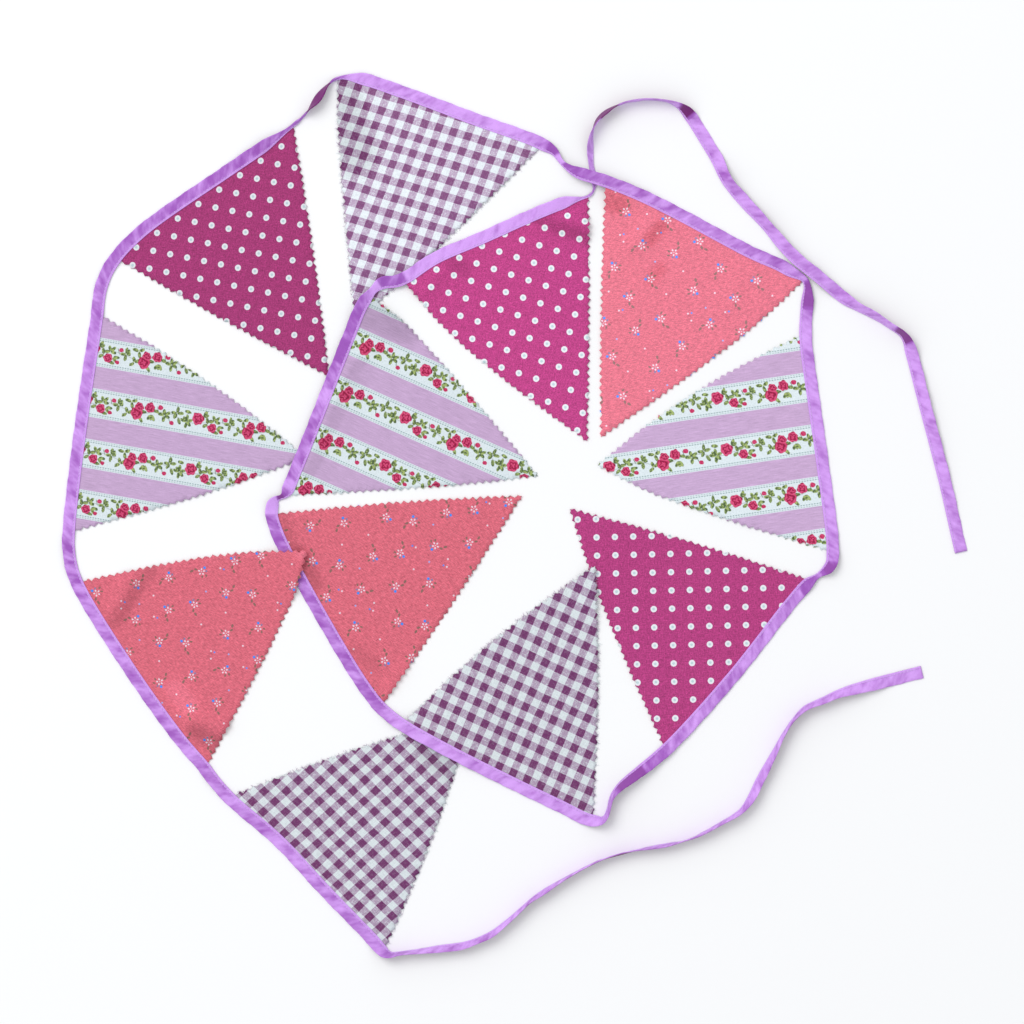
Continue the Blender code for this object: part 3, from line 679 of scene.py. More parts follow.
def tape_paint(colours):
    paint = Paint("lilac_tape")
    place = paint.place()
    tone = paint.held("tone")
    under = paint.held("under")
    x, y = paint.parts(place)
    # Painted shade and painted light: the tape's tone, with cross bands of noise that stand for its puckers,
    # blends the deep colour with the pale one.
    pucker_shade = paint.noise(paint.joined(x * 0.07, (y + x * 0.6) * 0.11), 1.0, 2.0, 0.6)
    pale = paint.step(tone + (pucker_shade - 0.5) * 2.1, -0.15, 1.05)
    colour = paint.mix(pale, colours.tape_shaded, colours.tape_lit)
    # Painted shade: the tape's lower face, and places where its tone falls below 0 as it turns from the
    # light, take the dark under colour.
    turned = paint.most(under, paint.step(tone, 0.0, -0.8))
    colour = paint.mix(turned, colour, colours.tape_under_shade)
    groove = paint.step(abs(x - STITCH_LINE), 0.1, 0.45)
    # A paler band along the open edge is a painted highlight.
    rim = paint.step(x, 2.0, 1.2) * 0.7
    colour = paint.mix(rim, colour, colours.tape_lit)
    # The colour is darker along the stitch line's groove, as painted shade; the streaks are the thread's
    # own.
    colour = paint.shade(colour, paint.heather(place, 3.0, 0.35, 0.3) * (groove * 0.14 + 0.86))
    weave = paint.threads(place, 0.62)
    height = weave * 0.5 + groove * 0.7 + paint.noise(place, 0.5) * 0.8
    return paint.finish(colour, weave * -0.08 + 0.86, height, 0.12 * MM, 0.2)


def thread_paint(colours):
    paint = Paint("lilac_thread")
    place = paint.place()
    x, y = paint.parts(place)
    twist = paint.wave((x + y * 2.0) * 9.0) * 0.5 + 0.5
    colour = paint.shade(paint.mix(twist, colours.thread, colours.tape_lit), twist * 0.2 + 0.85)
    return paint.finish(colour, twist * 0.1 + 0.6, twist, 0.05 * MM, 0.3)


def fray_paint(colours):
    paint = Paint("frayed_thread")
    place = paint.place()
    x, y = paint.parts(place)
    pale = paint.step(paint.noise(place, 0.12, 0.0), 0.42, 0.58)
    colour = paint.mix(pale, colours.check_mid, colours.check_pale)
    twist = paint.wave((x * 3.0 + y) * 6.0) * 0.5 + 0.5
    return paint.finish(paint.shade(colour, twist * 0.15 + 0.9), twist * 0.1 + 0.8, twist, 0.04 * MM, 0.2)


def dot_paint(colours):
    """Round dots in a square grid on magenta canvas."""
    paint = Paint("magenta_dots")
    place = paint.place()
    x, y = paint.parts(place)
    cell_x = (x + 0.5 * DOT_PITCH) % DOT_PITCH - 0.5 * DOT_PITCH
    cell_y = (y + 0.5 * DOT_PITCH) % DOT_PITCH - 0.5 * DOT_PITCH
    ragged = paint.noise(place, 1.2, 3.0) * 0.5
    away = paint.length(paint.joined(cell_x, cell_y)) + ragged
    dots = paint.step(away, DOT_RADIUS + 0.15, DOT_RADIUS - 0.15)
    weave = paint.threads(place, 0.95, 0.4)
    speckle = paint.noise(place, 0.9, 2.0, 0.7)
    canvas = paint.heather(place, 5.0, 0.7, 1.0) * (weave * 0.3 + 0.85) * (speckle * 1.6 + 0.2)
    ground = paint.shade(colours.magenta, canvas)
    lint = paint.step(paint.noise(place, 0.55, 1.0), 0.74, 0.8) * 0.35
    ground = paint.mix(lint, ground, colours.lint)
    middle = paint.mix(paint.step(away, 1.6, 1.1), colours.dot, colours.dot_middle)
    worn = paint.mix(weave * 0.08, middle, colours.magenta)
    # The ground takes the pennant's painted light and shade in full, and the dots take part of it.
    colour = paint.mix(dots, paint.lit(ground), paint.shade(worn, paint.held("tone") * 0.4 + 0.6))
    return paint.finish(colour, weave * -0.08 + 0.9, weave + dots * 0.15, 0.16 * MM, 0.08)


def gingham_paint(colours):
    """Woven checks: stripes of coloured thread both ways, on a pale ground."""
    paint = Paint("purple_gingham")
    place = paint.place()
    x, y = paint.parts(place)
    wander = (paint.noise(place, 0.05, 1.0) - 0.5) * 1.4
    fuzz = (paint.noise(place, 1.6, 2.0) - 0.5) * 0.7
    bands = []
    for value in (x, y):
        cell = (value + wander + fuzz + 0.5 * CHECK_REPEAT) % CHECK_REPEAT
        off = abs(cell - 0.5 * CHECK_REPEAT)
        bands.append(paint.step(off, 0.25 * CHECK_REPEAT + 0.15, 0.25 * CHECK_REPEAT - 0.15))
    both = bands[0] * bands[1]
    either = paint.most(*bands)
    speckle = paint.threads(place, 0.7, 0.9)
    middle = paint.mix(speckle * 0.3, colours.check_mid, colours.check_dark)
    streaks = paint.streaks(place, 0.9, 3.5, 2.0, 0.7)
    crossing = paint.streaks(place, 3.5, 0.9, 2.0, 0.7, (5.0, 3.0))
    flecks = paint.step(paint.most(streaks, crossing), 0.5, 0.72)
    middle = paint.mix(flecks * 0.75, middle, colours.check_pale)
    colour = paint.mix(either, colours.check_pale, middle)
    deep = paint.mix(flecks * 0.25, colours.check_dark, colours.check_mid)
    colour = paint.mix(both, colour, deep)
    cloth = paint.heather(place, 4.0, 0.6, 0.5) * (speckle * 0.16 + 0.92)
    colour = paint.lit(paint.shade(colour, cloth))
    return paint.finish(colour, speckle * -0.06 + 0.9, speckle, 0.12 * MM, 0.08)


def polar(away, degrees):
    return away * math.cos(math.radians(degrees)), away * math.sin(math.radians(degrees))


def blob(paint, place, x, y, turn, size_x, size_y, soft=0.14):
    """Mask of an ellipse, from its middle, its turn and its whole sizes."""
    seen = paint.moved(place, x, y, turn, 0.5 * size_x, 0.5 * size_y)
    return paint.step(paint.length(seen), 1.0 + soft, 1.0 - soft)


def spray_leaves(paint, place):
    """Mask of every leaf of the vine."""
    leaves = []
    for along, across, turns in SPRAYS:
        for k, angle in enumerate(turns):
            length = LEAF_LENGTH * (1.0 - 0.12 * (k % 2))
            x, y = polar(0.56 * length, angle)
            leaves.append(blob(paint, place, along + x, across + y, angle, length, LEAF_WIDTH))
    return paint.most(*leaves)


def vine(paint, colours, place, colour):
    """Lays a wavy vine of leaves, buds and roses over the colour."""
    along, across = paint.parts(place)
    curl = paint.wave(along * (4.0 * math.pi / VINE_REPEAT)) * 2.2
    stem = paint.step(abs(across - curl), 0.5, 0.2) * 0.4
    stem = paint.most(stem, *(blob(paint, place, a - 2.0, 0.7 * b, 70.0, 5.2, 0.6) for a, b, _ in BUDS))
    colour = paint.mix(stem * 0.8, colour, colours.leaf)
    shine = paint.step(paint.noise(place, 0.55, 2.0, 0.6), 0.42, 0.6)
    green = paint.mix(shine, colours.leaf, colours.leaf_pale)
    colour = paint.mix(spray_leaves(paint, place) * 0.96, colour, green)
    buds = paint.most(*(blob(paint, place, a, b, 0.0, 2.0 * r, 1.7 * r) for a, b, r in BUDS))
    colour = paint.mix(buds, colour, paint.mix(shine * 0.5, colours.rose, colours.rose_pale))
    for along_rose, across_rose, radius, turn in ROSES:
        seen = paint.moved(place, along_rose, across_rose, turn, radius, radius)
        seen_x, seen_y = paint.parts(seen)
        angle = paint.maths("ARCTAN2", seen_y, seen_x)
        away = paint.length(seen)
        edge = away + paint.wave(angle * 6.0 + turn) * 0.06 + paint.wave(angle * 3.0) * 0.05
        ruffle = (paint.noise(place, 0.5, 2.0) - 0.5) * 9.0
        petals = paint.wave(away * 10.0 + ruffle + paint.wave(angle * 4.0) * 1.2) * 0.5 + 0.5
        bloom = paint.mix(paint.step(petals, 0.45, 0.95) * 0.85, colours.rose, colours.rose_pale)
        bloom = paint.mix(paint.step(petals, 0.3, 0.0) * 0.75, bloom, colours.rose_dark)
        colour = paint.mix(paint.step(edge, 1.04, 0.92), colour, bloom)
    return colour


def stripe_paint(colours):
    """Lilac and white stripes down the pennant, with a rose vine along the white ones."""
    paint = Paint("rose_stripes")
    place = paint.place()
    x, y = paint.parts(place)
    across = (x + 0.5 * STRIPE_PERIOD) % STRIPE_PERIOD - 0.5 * STRIPE_PERIOD
    along = (y + VINE_START) % VINE_REPEAT
    off = abs(across)
    white = paint.step(off, 0.5 * WHITE_BAND + 0.25, 0.5 * WHITE_BAND - 0.25)
    grain = paint.streaks(place, 0.6, 12.0, 3.0, 0.7)
    speckle = paint.noise(place, 0.8, 2.0, 0.7)
    lilac = paint.shade(colours.lilac, grain * 0.9 + 0.55)
    ground = paint.mix(white, lilac, paint.shade(colours.white, speckle * 0.22 + 0.89))
    dashes = paint.step(paint.wave(y * 2.9), -0.3, 0.5)
    lines = paint.most(
        paint.step(abs(off - 9.3), 0.55, 0.25),
        paint.step(abs(off - 10.7), 0.45, 0.2) * 0.7,
    )
    ground = paint.mix(lines * (dashes * 0.6 + 0.2), ground, colours.dash)
    sway = (paint.noise(place, 0.35, 2.0) - 0.5) * 1.2
    colour = vine(paint, colours, paint.joined(along + sway, across + sway), ground)
    weave = paint.threads(place, 0.7, 0.5)
    colour = paint.lit(paint.shade(colour, (weave * 0.14 + 0.93) * (speckle * 0.24 + 0.88)))
    return paint.finish(colour, weave * -0.06 + 0.88, weave + grain * 0.6, 0.12 * MM, 0.08)


def nearest_motif(paint, place, rows):
    """The place as seen from the nearest motif of the half-drop repeat, and that motif's third value."""
    x, y = paint.parts(place)
    nearest = None
    for across, down, value in rows:
        local_x = (x - (across - 0.5 * DITSY_ACROSS)) % DITSY_ACROSS - 0.5 * DITSY_ACROSS
        column = (x - across - local_x) / DITSY_ACROSS
        top = y - (down - 0.5 * DITSY_DOWN) - column * (0.5 * DITSY_DOWN)
        local_y = top % DITSY_DOWN - 0.5 * DITSY_DOWN
        away = paint.length(paint.joined(local_x, local_y))
        here = paint.joined(local_x, local_y, value)
        if nearest is None:
            nearest, reach = here, away
            continue
        closer = paint.maths("LESS_THAN", away, reach)
        nearest = paint.node("ShaderNodeMix", {"data_type": "VECTOR"}, {0: closer, 4: nearest, 5: here}, 1)
        reach = paint.maths("MINIMUM", away, reach)
    flat = paint.vector("MULTIPLY", nearest, (1.0, 1.0, 0.0))
    return flat, paint.node("ShaderNodeSeparateXYZ", None, {0: nearest}, 2)


def coral_paint(colours):
    """Heathered coral with small flowers, blue dots and sprigs in a half-drop repeat."""
    paint = Paint("coral_flowers")
    place = paint.place()
    weave = paint.threads(place, 0.75, 0.8)
    # The crinkle streaks darken the linen's colour as painted shade of its fine wrinkles, and they raise the
    # bump too.
    crinkle = paint.streaks(place, 3.4, 0.9, 3.0, turn=30.0)
    linen = paint.heather(place, 4.5, 0.6, 1.0) * (weave * 0.24 + 0.88) * (crinkle * 1.3 + 0.36)
    colour = paint.shade(colours.coral, linen * (paint.noise(place, 0.1, 2.0) * 0.16 + 0.92))
    weft = paint.streaks(place, 3.2, 0.45, start=(2.0, 6.0))
    warp = paint.streaks(place, 0.45, 3.2, start=(8.0, 1.0))
    slubs = paint.step(paint.most(weft, warp), 0.56, 0.78)
    colour = paint.mix(slubs * 0.4, colour, colours.slub)
    local, turn = nearest_motif(paint, place, DITSY_FLOWERS)
    flower = paint.node(
        "ShaderNodeVectorRotate",
        {"rotation_type": "Z_AXIS"},
        {"Vector": local, "Angle": turn * (-math.pi / 180.0)},
    )
    sprig = paint.most(*(blob(paint, flower, *row) for row in DITSY_LEAVES))
    colour = paint.mix(sprig * 0.8, colour, colours.sprig)
    petals = []
    for k in range(PETALS):
        angle = 36.0 + 360.0 * k / PETALS
        petals.append(blob(paint, flower, *polar(PETAL_RING, angle), angle, 1.75, 1.3, 0.18))
    petals.append(blob(paint, flower, 0.0, 0.0, 0.0, 0.8, 0.8, 0.3))
    colour = paint.mix(paint.most(*petals), colour, colours.petal)
    dull = blob(paint, flower, 2.9, -2.8, 0.0, 1.8, 1.7, 0.2) * 0.75
    bright = blob(paint, flower, 4.2, 0.0, 0.0, 2.3, 2.2, 0.18)
    colour = paint.mix(bright, paint.mix(dull, colour, colours.blue_dull), colours.blue)
    local, blueness = nearest_motif(paint, place, DITSY_SPOTS)
    spot_colour = paint.mix(blueness, colours.petal, colours.blue)
    colour = paint.mix(paint.step(paint.length(local), 0.95, 0.6) * 0.92, colour, spot_colour)
    colour = paint.lit(colour)
    height = weave * 0.7 + slubs * 0.4 + crinkle * 2.4
    return paint.finish(colour, weave * -0.06 + 0.9, height, 0.2 * MM, 0.08)


PAINTS = {
    "tape": tape_paint,
    "thread": thread_paint,
    "fray": fray_paint,
    "dot": dot_paint,
    "stripe": stripe_paint,
    "coral": coral_paint,
    "gingham": gingham_paint,
}


def painted(kind):
    """The material of this kind, made once."""
    settings = bpy.context.scene.bunting_colours
    key = f"bunting_{kind}"
    if key not in bpy.data.materials:
        material = PAINTS[kind](settings)
        material.name = key
    return bpy.data.materials[key]


def ease(value):
    value = np.clip(value, 0.0, 1.0)
    return value * value * (3.0 - 2.0 * value)


def catmull_rom(rows, step):
    """Points about one step apart on a curve through the rows, and each row's index among them."""
    rows = np.asarray(rows, float)
    ends = np.vstack((2 * rows[0] - rows[1], rows, 2 * rows[-1] - rows[-2]))
    points = []
    marks = []
    for k in range(1, len(ends) - 2):
        a, b, c, d = ends[k - 1 : k + 3]
        knots = np.cumsum([0.0] + [math.dist(p[:2], q[:2]) ** 0.5 for p, q in ((a, b), (b, c), (c, d))])
        count = max(2, round(math.dist(b[:2], c[:2]) / step))
        marks.append(len(points))
        for i in range(count):
            t = knots[1] + (knots[2] - knots[1]) * i / count
            first = a + (b - a) * (t - knots[0]) / (knots[1] - knots[0])
            second = b + (c - b) * (t - knots[1]) / (knots[2] - knots[1])
            third = c + (d - c) * (t - knots[2]) / (knots[3] - knots[2])
            left = first + (second - first) * (t - knots[0]) / (knots[2] - knots[0])
            right = second + (third - second) * (t - knots[1]) / (knots[3] - knots[1])
            points.append(left + (right - left) * (t - knots[1]) / (knots[2] - knots[1]))
    marks.append(len(points))
    points.append(rows[-1])
    return np.array(points), marks


def blurred(values, spread):
    """The values smoothed along the row, with both ends kept in place."""
    reach = int(3 * spread)
    before = 2 * values[0] - values[reach:0:-1]
    after = 2 * values[-1] - values[-2 : -reach - 2 : -1]
    padded = np.concatenate((before, values, after))
    kernel = np.exp(-0.5 * (np.arange(-reach, reach + 1) / spread) ** 2)
    return np.convolve(padded, kernel / kernel.sum(), "valid")


class Route:
    """The tape's centre line at every millimetre, with its roll, height and the tone of its painted light
    and shade.
    """

    def __init__(self, width, leaf, cloth):
        rows = [row for _, _, leg in LEGS for row in leg]
        dense, marks = catmull_rom(rows, 1.0)
        self.width = width
        self.x = blurred(dense[:, 0], ROUTE_SMOOTH)
        self.y = blurred(dense[:, 1], ROUTE_SMOOTH)
        self.roll = np.radians(blurred(dense[:, 2], ROLL_SMOOTH))
        self.lift = LIFT_SHARE * np.maximum(blurred(dense[:, 3], ROLL_SMOOTH), 0.0)
        along_x = np.gradient(self.x)
        along_y = np.gradient(self.y)
        size = np.hypot(along_x, along_y)
        self.along = np.column_stack((along_x / size, along_y / size))
        steps = np.hypot(np.diff(self.x), np.diff(self.y))
        self.distance = np.concatenate(((0.0,), np.cumsum(steps)))
        self.spans, tones = self.legs(marks)
        self.tone = blurred(tones, TONE_SMOOTH)
        for x, y, tone, half in TURNS:
            within = half + 0.5 * TONE_EDGE - self.away_from(x, y)
            self.tone += (tone - self.tone) * ease(within / TONE_EDGE)
        share = np.zeros(len(self.x))
        for first, last in self.spans.values():
            outside = np.maximum(self.distance[first] - self.distance, self.distance - self.distance[last])
            share = np.maximum(share, 1.0 - ease((outside - 2.0) / SLOT_OPENS))
        self.slot = SLOT_SHUT + (cloth + SLOT_PLAY - SLOT_SHUT) * share
        self.thick = 2.0 * leaf + self.slot
        self.squeeze = np.ones(len(self.x))
        for x, y, narrowed, run_out in SQUEEZES:
            drawn = narrowed + (1.0 - narrowed) * ease(self.away_from(x, y) / run_out)
            self.squeeze = np.minimum(self.squeeze, drawn)
        upright = (0.5 * width * self.squeeze + 0.3) * np.abs(np.sin(self.roll))
        self.z = self.lift + upright + 0.5 * self.thick * np.abs(np.cos(self.roll)) + TABLE_GAP

    def away_from(self, x, y):
        """Each place's distance along the tape from the place nearest to this plan point."""
        return np.abs(self.distance - self.distance[np.argmin(np.hypot(self.x - x, self.y - y))])

    def legs(self, marks):
        """Each pennant's first and last place on the tape, and every place's tone."""
        spans = {}
        tones = np.zeros(len(self.x))
        row = 0
        for name, tone, leg in LEGS:
            last = row + len(leg) - 1
            if name.startswith("flag"):
                spans[name] = (marks[row], marks[last])
            end = marks[last + 1] if last + 1 < len(marks) else len(tones)
            tones[marks[row] : end] = tone
            row = last + 1
        return spans, tones

    def point(self, index, across, over):
        """A point of the section: across from the open edge to the fold, over from its mid-plane."""
        along_x, along_y = self.along[index]
        roll = self.roll[index]
        side = (across - 0.5 * self.width) * self.squeeze[index]
        level = side * math.cos(roll) - over * math.sin(roll)
        height = side * math.sin(roll) + over * math.cos(roll)
        return (self.x[index] + along_y * level, self.y[index] - along_x * level, self.z[index] + height)

    def pucker(self, index, across):
        """How far the upper leaf stands proud of the mid-plane here, in millimetres."""
        s = self.distance[index]
        crease = math.sin(0.47 * s + 1.6 * math.sin(0.071 * s)) * math.sin(0.113 * s + 0.9)
        tilt = math.sin(0.47 * s + 0.35 * across + 2.0 * math.sin(0.037 * s))
        soft = math.sin(math.pi * min(1.0, max(0.0, across / self.width)))
        return 0.3 * crease * (0.3 + 0.7 * soft) + 0.2 * tilt * soft

    def edge(self, index):
        """How far the fold wanders in or out, in millimetres."""
        s = self.distance[index]
        return 0.16 * math.sin(0.31 * s + math.sin(0.05 * s)) + 0.09 * math.sin(0.83 * s)


def located(point):
    return ((point[0] - ORIGIN_X) * MM, (point[1] - ORIGIN_Y) * MM, point[2] * MM)


def new_object(name, data):
    """An object with this data, in the scene."""
    obj = bpy.data.objects.new(name, data)
    bpy.context.scene.collection.objects.link(obj)
    return obj


def make_object(name, points, faces, kind, cuts, **shares):
    """A mesh piece with its cloth coordinates, its material, smooth shading and any other values."""
    mesh = bpy.data.meshes.new(name)
    mesh.from_pydata([located(point) for point in points], [], faces)
    layer = mesh.attributes.new("cut", "FLOAT_VECTOR", "POINT")
    layer.data.foreach_set("vector", np.asarray(cuts, np.float32).ravel())
    for key, values in shares.items():
        shade = mesh.attributes.new(key, "FLOAT", "POINT")
        shade.data.foreach_set("value", np.asarray(values, np.float32))
    mesh.materials.append(painted(kind))
    mesh.shade_smooth()
    obj = new_object(name, mesh)
    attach(obj, "root")
    return obj


def outward(obj):
    """Turns every face of a closed piece outwards."""
    form = bmesh.new()
    form.from_mesh(obj.data)
    bmesh.ops.recalc_face_normals(form, faces=form.faces)
    form.to_mesh(obj.data)
    form.free()


def route_now():
    sizes = bpy.context.scene.bunting_sizes
    return Route(sizes.tape_width / MM, sizes.tape_leaf / MM, sizes.cloth / MM)


def tape_ring(route, index, leaf):
    """The folded section as points and their cloth coordinates: outer face, fold, then the slot."""
    half = 0.5 * route.thick[index]
    gap = 0.5 * route.slot[index]
    bend = 1.0
    fold = route.width + route.edge(index)
    ring = []
    for across in (0.0, 0.5, STITCH_LINE, 3.2, 5.0, 6.8, 8.2):
        hem = math.exp(-((across - 0.6) / 0.5) ** 2) - math.exp(-((across - STITCH_LINE) / 0.35) ** 2)
        ring.append((across, half + 0.12 * hem + route.pucker(index, across)))
    for turn in (90.0, 60.0, 25.0, 0.0, -25.0, -60.0, -90.0):
        angle = math.radians(turn)
        ring.append((fold - bend + bend * math.cos(angle), half * math.sin(angle)))
    ring += [(across, -half) for across in (8.2, 6.0, 3.5, STITCH_LINE, 0.5, 0.0)]
    ring += [(0.0, -gap), (4.0, -gap), (fold - leaf - 0.5, -gap)]
    ring += [(fold - leaf - 0.5, gap), (4.0, gap), (0.0, gap)]
    return ring


class BUNTING_OT_tape(bpy.types.Operator):
    """Loft the folded tape through the whole route"""

    bl_idname = "bunting.tape"
    bl_label = "Tape"

    def execute(self, context):
        route = route_now()
        leaf = context.scene.bunting_sizes.tape_leaf / MM
        indices = list(range(0, len(route.x) - 1, 2)) + [len(route.x) - 1]
        points = []
        cuts = []
        tones = []
        under_shades = []
        faces = []
        for place, index in enumerate(indices):
            ring = tape_ring(route, index, leaf)
            count = len(ring)
            for across, over in ring:
                points.append(route.point(index, across, over))
                around = across if over >= 0.0 else 2.0 * route.width - across
                cuts.append((around, route.distance[index], 0.0))
                tones.append(route.tone[index])
                # The lower leaf's outer face is marked for the painted under shade.
                under_shades.append(0.0 if over > -0.3 * route.thick[index] else 1.0)
            if place:
                start = (place - 1) * count
                for k in range(count):
                    after = (k + 1) % count
                    faces.append((start + k, start + after, start + count + after, start + count + k))
        last = len(points) - count
        faces += self.end_faces(0, count) + self.end_faces(last, count)
        obj = make_object("tape_folded", points, faces, "tape", cuts, tone=tones, under=under_shades)
        outward(obj)
        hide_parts("tape")
        return {"FINISHED"}

    def end_faces(self, start, count):
        """The cut end: a strip between the outer face and the slot, all the way round the fold."""
        steps = count - SLOT_POINTS - 1
        inner = [start + count - 1 - k for k in range(SLOT_POINTS)]
        strip = []
        for k in range(steps):
            across = int(SLOT_POINTS * k / steps)
            following = min(SLOT_POINTS - 1, int(SLOT_POINTS * (k + 1) / steps))
            strip.append((start + k, start + k + 1, inner[across]))
            if following != across:
                strip.append((start + k + 1, inner[following], inner[across]))
        return strip


def pinked_side(start, apex, bulge, peak, side, phase, pitch, depth):
    """Points of a pinked edge: rounded teeth about a bowed line, to just short of the apex."""
    start = np.array(start)
    run = np.array(apex) - start
    length = math.hypot(*run)
    normal = np.array((run[1], -run[0])) / length * side
    teeth = max(2, round(length / pitch))
    points = []
    for step in range(1, 4 * teeth):
        k = 0.5 * step
        wander = TOOTH_WANDER * math.sin(2.7 * k + phase)
        share = (k + wander) / (2 * teeth)
        if share < peak:
            bow = math.sin(0.5 * math.pi * share / peak)
        else:
            bow = math.cos(0.5 * math.pi * (share - peak) / (1.0 - peak))
        tooth = 0.5 * depth * (1.0 + TOOTH_UNEVEN * math.sin(1.9 * k + phase))
        offset = bulge * bow - tooth * math.cos(math.pi * k) + 0.15 * math.sin(9.1 * k + phase)
        points.append(tuple(start + run * share + normal * offset))
    return points


def distance_to_line(point, a, b):
    """Distance from a plan point to the line between two others, and the nearest place's share."""
    run = (b[0] - a[0], b[1] - a[1])
    square = run[0] ** 2 + run[1] ** 2
    share = ((point[0] - a[0]) * run[0] + (point[1] - a[1]) * run[1]) / square if square else 0.0
    share = min(1.0, max(0.0, share))
    return math.dist(point, (a[0] + run[0] * share, a[1] + run[1] * share)), share


class Pennant:
    """One pennant as a fine sheet on the folds of its solid."""

    def __init__(self, route, row, number, sizes):
        self.name, self.cloth, apex_x, apex_y, bulge_a, peak_a, bulge_b, peak_b, self.tone = row
        self.number = number
        self.thickness = sizes.cloth / MM
        self.apex = (apex_x, apex_y)
        first, last = route.spans[self.name]
        stations = list(range(first, last, 4)) + [last]
        self.rows = [[route.point(i, across, 0.0) for i in stations] for across in (TUCK, 4.0, 1.0, -SHOW)]
        self.exit = self.rows[-1]
        pitch = sizes.pinking_pitch / MM
        depth = sizes.pinking_depth / MM
        side_a = pinked_side(self.exit[0][:2], self.apex, bulge_a, peak_a, -1.0, number, pitch, depth)
        side_b = pinked_side(self.exit[-1][:2], self.apex, bulge_b, peak_b, 1.0, number + 0.5, pitch, depth)
        self.sides = (side_a, side_b)
        self.outline = [p[:2] for p in self.exit] + side_b + [self.apex] + side_a[::-1]
        self.ridges = RIDGES.get(self.name, ())
        self.shades = SHADES.get(self.name, ())
        self.step = sizes.mesh_step / MM

    def ripple(self, point):
        """Slight unevenness of cloth that lies on a table, never below it."""
        x, y = point
        n = self.number
        slow = math.sin(0.058 * x + 0.031 * y + 1.7 * n) + math.sin(0.047 * y - 0.036 * x + 2.3 * n)
        quick = math.sin(0.19 * x + 0.11 * y + n) * math.sin(0.16 * y - 0.07 * x + 0.7 * n)
        return 0.3 * (slow + 2.0) * 0.5 + 0.24 * (quick + 1.0)

    def height(self, point):
        rise = 0.0
        for x1, y1, x2, y2, half, high, run_out in self.ridges:
            away, _ = distance_to_line(point, (x1, y1), (x2, y2))
            share = LIFT_SHARE if half > 3.0 else 1.0
            rise = max(rise, share * high * float(ease((half + run_out - away) / run_out)))
        best = None
        for a, b in zip(self.exit, self.exit[1:]):
            away, share = distance_to_line(point, a[:2], b[:2])
            if best is None or away < best[0]:
                best = (away, a[2] + (b[2] - a[2]) * share)
        away, slot_height = best
        reach = DROOP + 4.5 * max(0.0, slot_height - 2.0)
        weight = 1.0 - float(ease(away / reach))
        base = 0.5 * self.thickness + TABLE_GAP + rise + self.ripple(point)
        return base + (slot_height - base) * weight

    def cut_place(self, point):
        """The point in the cloth's own print, in millimetres."""
        x, y, *sides = PRINTS[self.name]
        cut = []
        for turn, stretch in (sides[:2], sides[2:]):
            angle = math.radians(turn)
            cut.append(((point[0] - x) * math.cos(angle) + (point[1] - y) * math.sin(angle)) / stretch)
        return (*cut, 0.0)

    def tone_at(self, point):
        """The painted light and shade of the cloth at this point: its tone, with its painted shades."""
        tone = self.tone
        for x1, y1, x2, y2, half, run_out, share in self.shades:
            away, _ = distance_to_line(point, (x1, y1), (x2, y2))
            tone *= 1.0 + (share - 1.0) * float(ease((half + run_out - away) / run_out))
        return tone

    def surface(self):
        """The sheet's mid-surface as points and triangles."""
        tucked, second, third, shown = self.rows
        count = len(shown)
        border = [p[:2] for p in tucked] + [second[-1][:2], third[-1][:2], shown[-1][:2]]
        heights = [p[2] for p in tucked] + [second[-1][2], third[-1][2], shown[-1][2]]
        rim = self.outline[count:]
        border += rim + [shown[0][:2], third[0][:2], second[0][:2]]
        heights += [self.height(p) for p in rim] + [shown[0][2], third[0][2], second[0][2]]
        inner = []
        for row in (second, third, shown):
            inner += [p[:2] for p in row[1:-1]]
            heights += [p[2] for p in row[1:-1]]
        grid = self.grid_points()
        heights += [self.height(p) for p in grid]
        plan = border + inner + grid
        edges = [(k, (k + 1) % len(border)) for k in range(len(border))]
        result = delaunay_2d_cdt([Vector(p) for p in plan], edges, [], 1, 1e-6)
        points = [(*result[0][k], heights[sources[0]]) for k, sources in enumerate(result[3])]
        return points, [tuple(face) for face in result[2]]

    def grid_points(self):
        """Plan points inside the cloth, in staggered rows."""
        low = np.min(self.outline, axis=0)
        high = np.max(self.outline, axis=0)
        border = np.array(self.outline)
        rng = random.Random(self.number)
        kept = []
        row_step = self.step * 0.5 * math.sqrt(3.0)
        for row in range(int((high[1] - low[1]) / row_step) + 1):
            for column in range(int((high[0] - low[0]) / self.step) + 2):
                x = low[0] + (column - 0.5 * (row % 2)) * self.step + rng.uniform(-0.3, 0.3)
                y = low[1] + row * row_step + rng.uniform(-0.3, 0.3)
                if np.min(np.hypot(border[:, 0] - x, border[:, 1] - y)) > 0.42 * self.step:
                    if inside((x, y), self.outline):
                        kept.append((x, y))
        return kept


def inside(point, outline):
    """Whether a plan point lies inside the outline, by counting crossings."""
    odd = False
    for a, b in zip(outline, outline[1:] + outline[:1]):
        if (a[1] > point[1]) != (b[1] > point[1]):
            if a[0] + (point[1] - a[1]) * (b[0] - a[0]) / (b[1] - a[1]) > point[0]:
                odd = not odd
    return odd


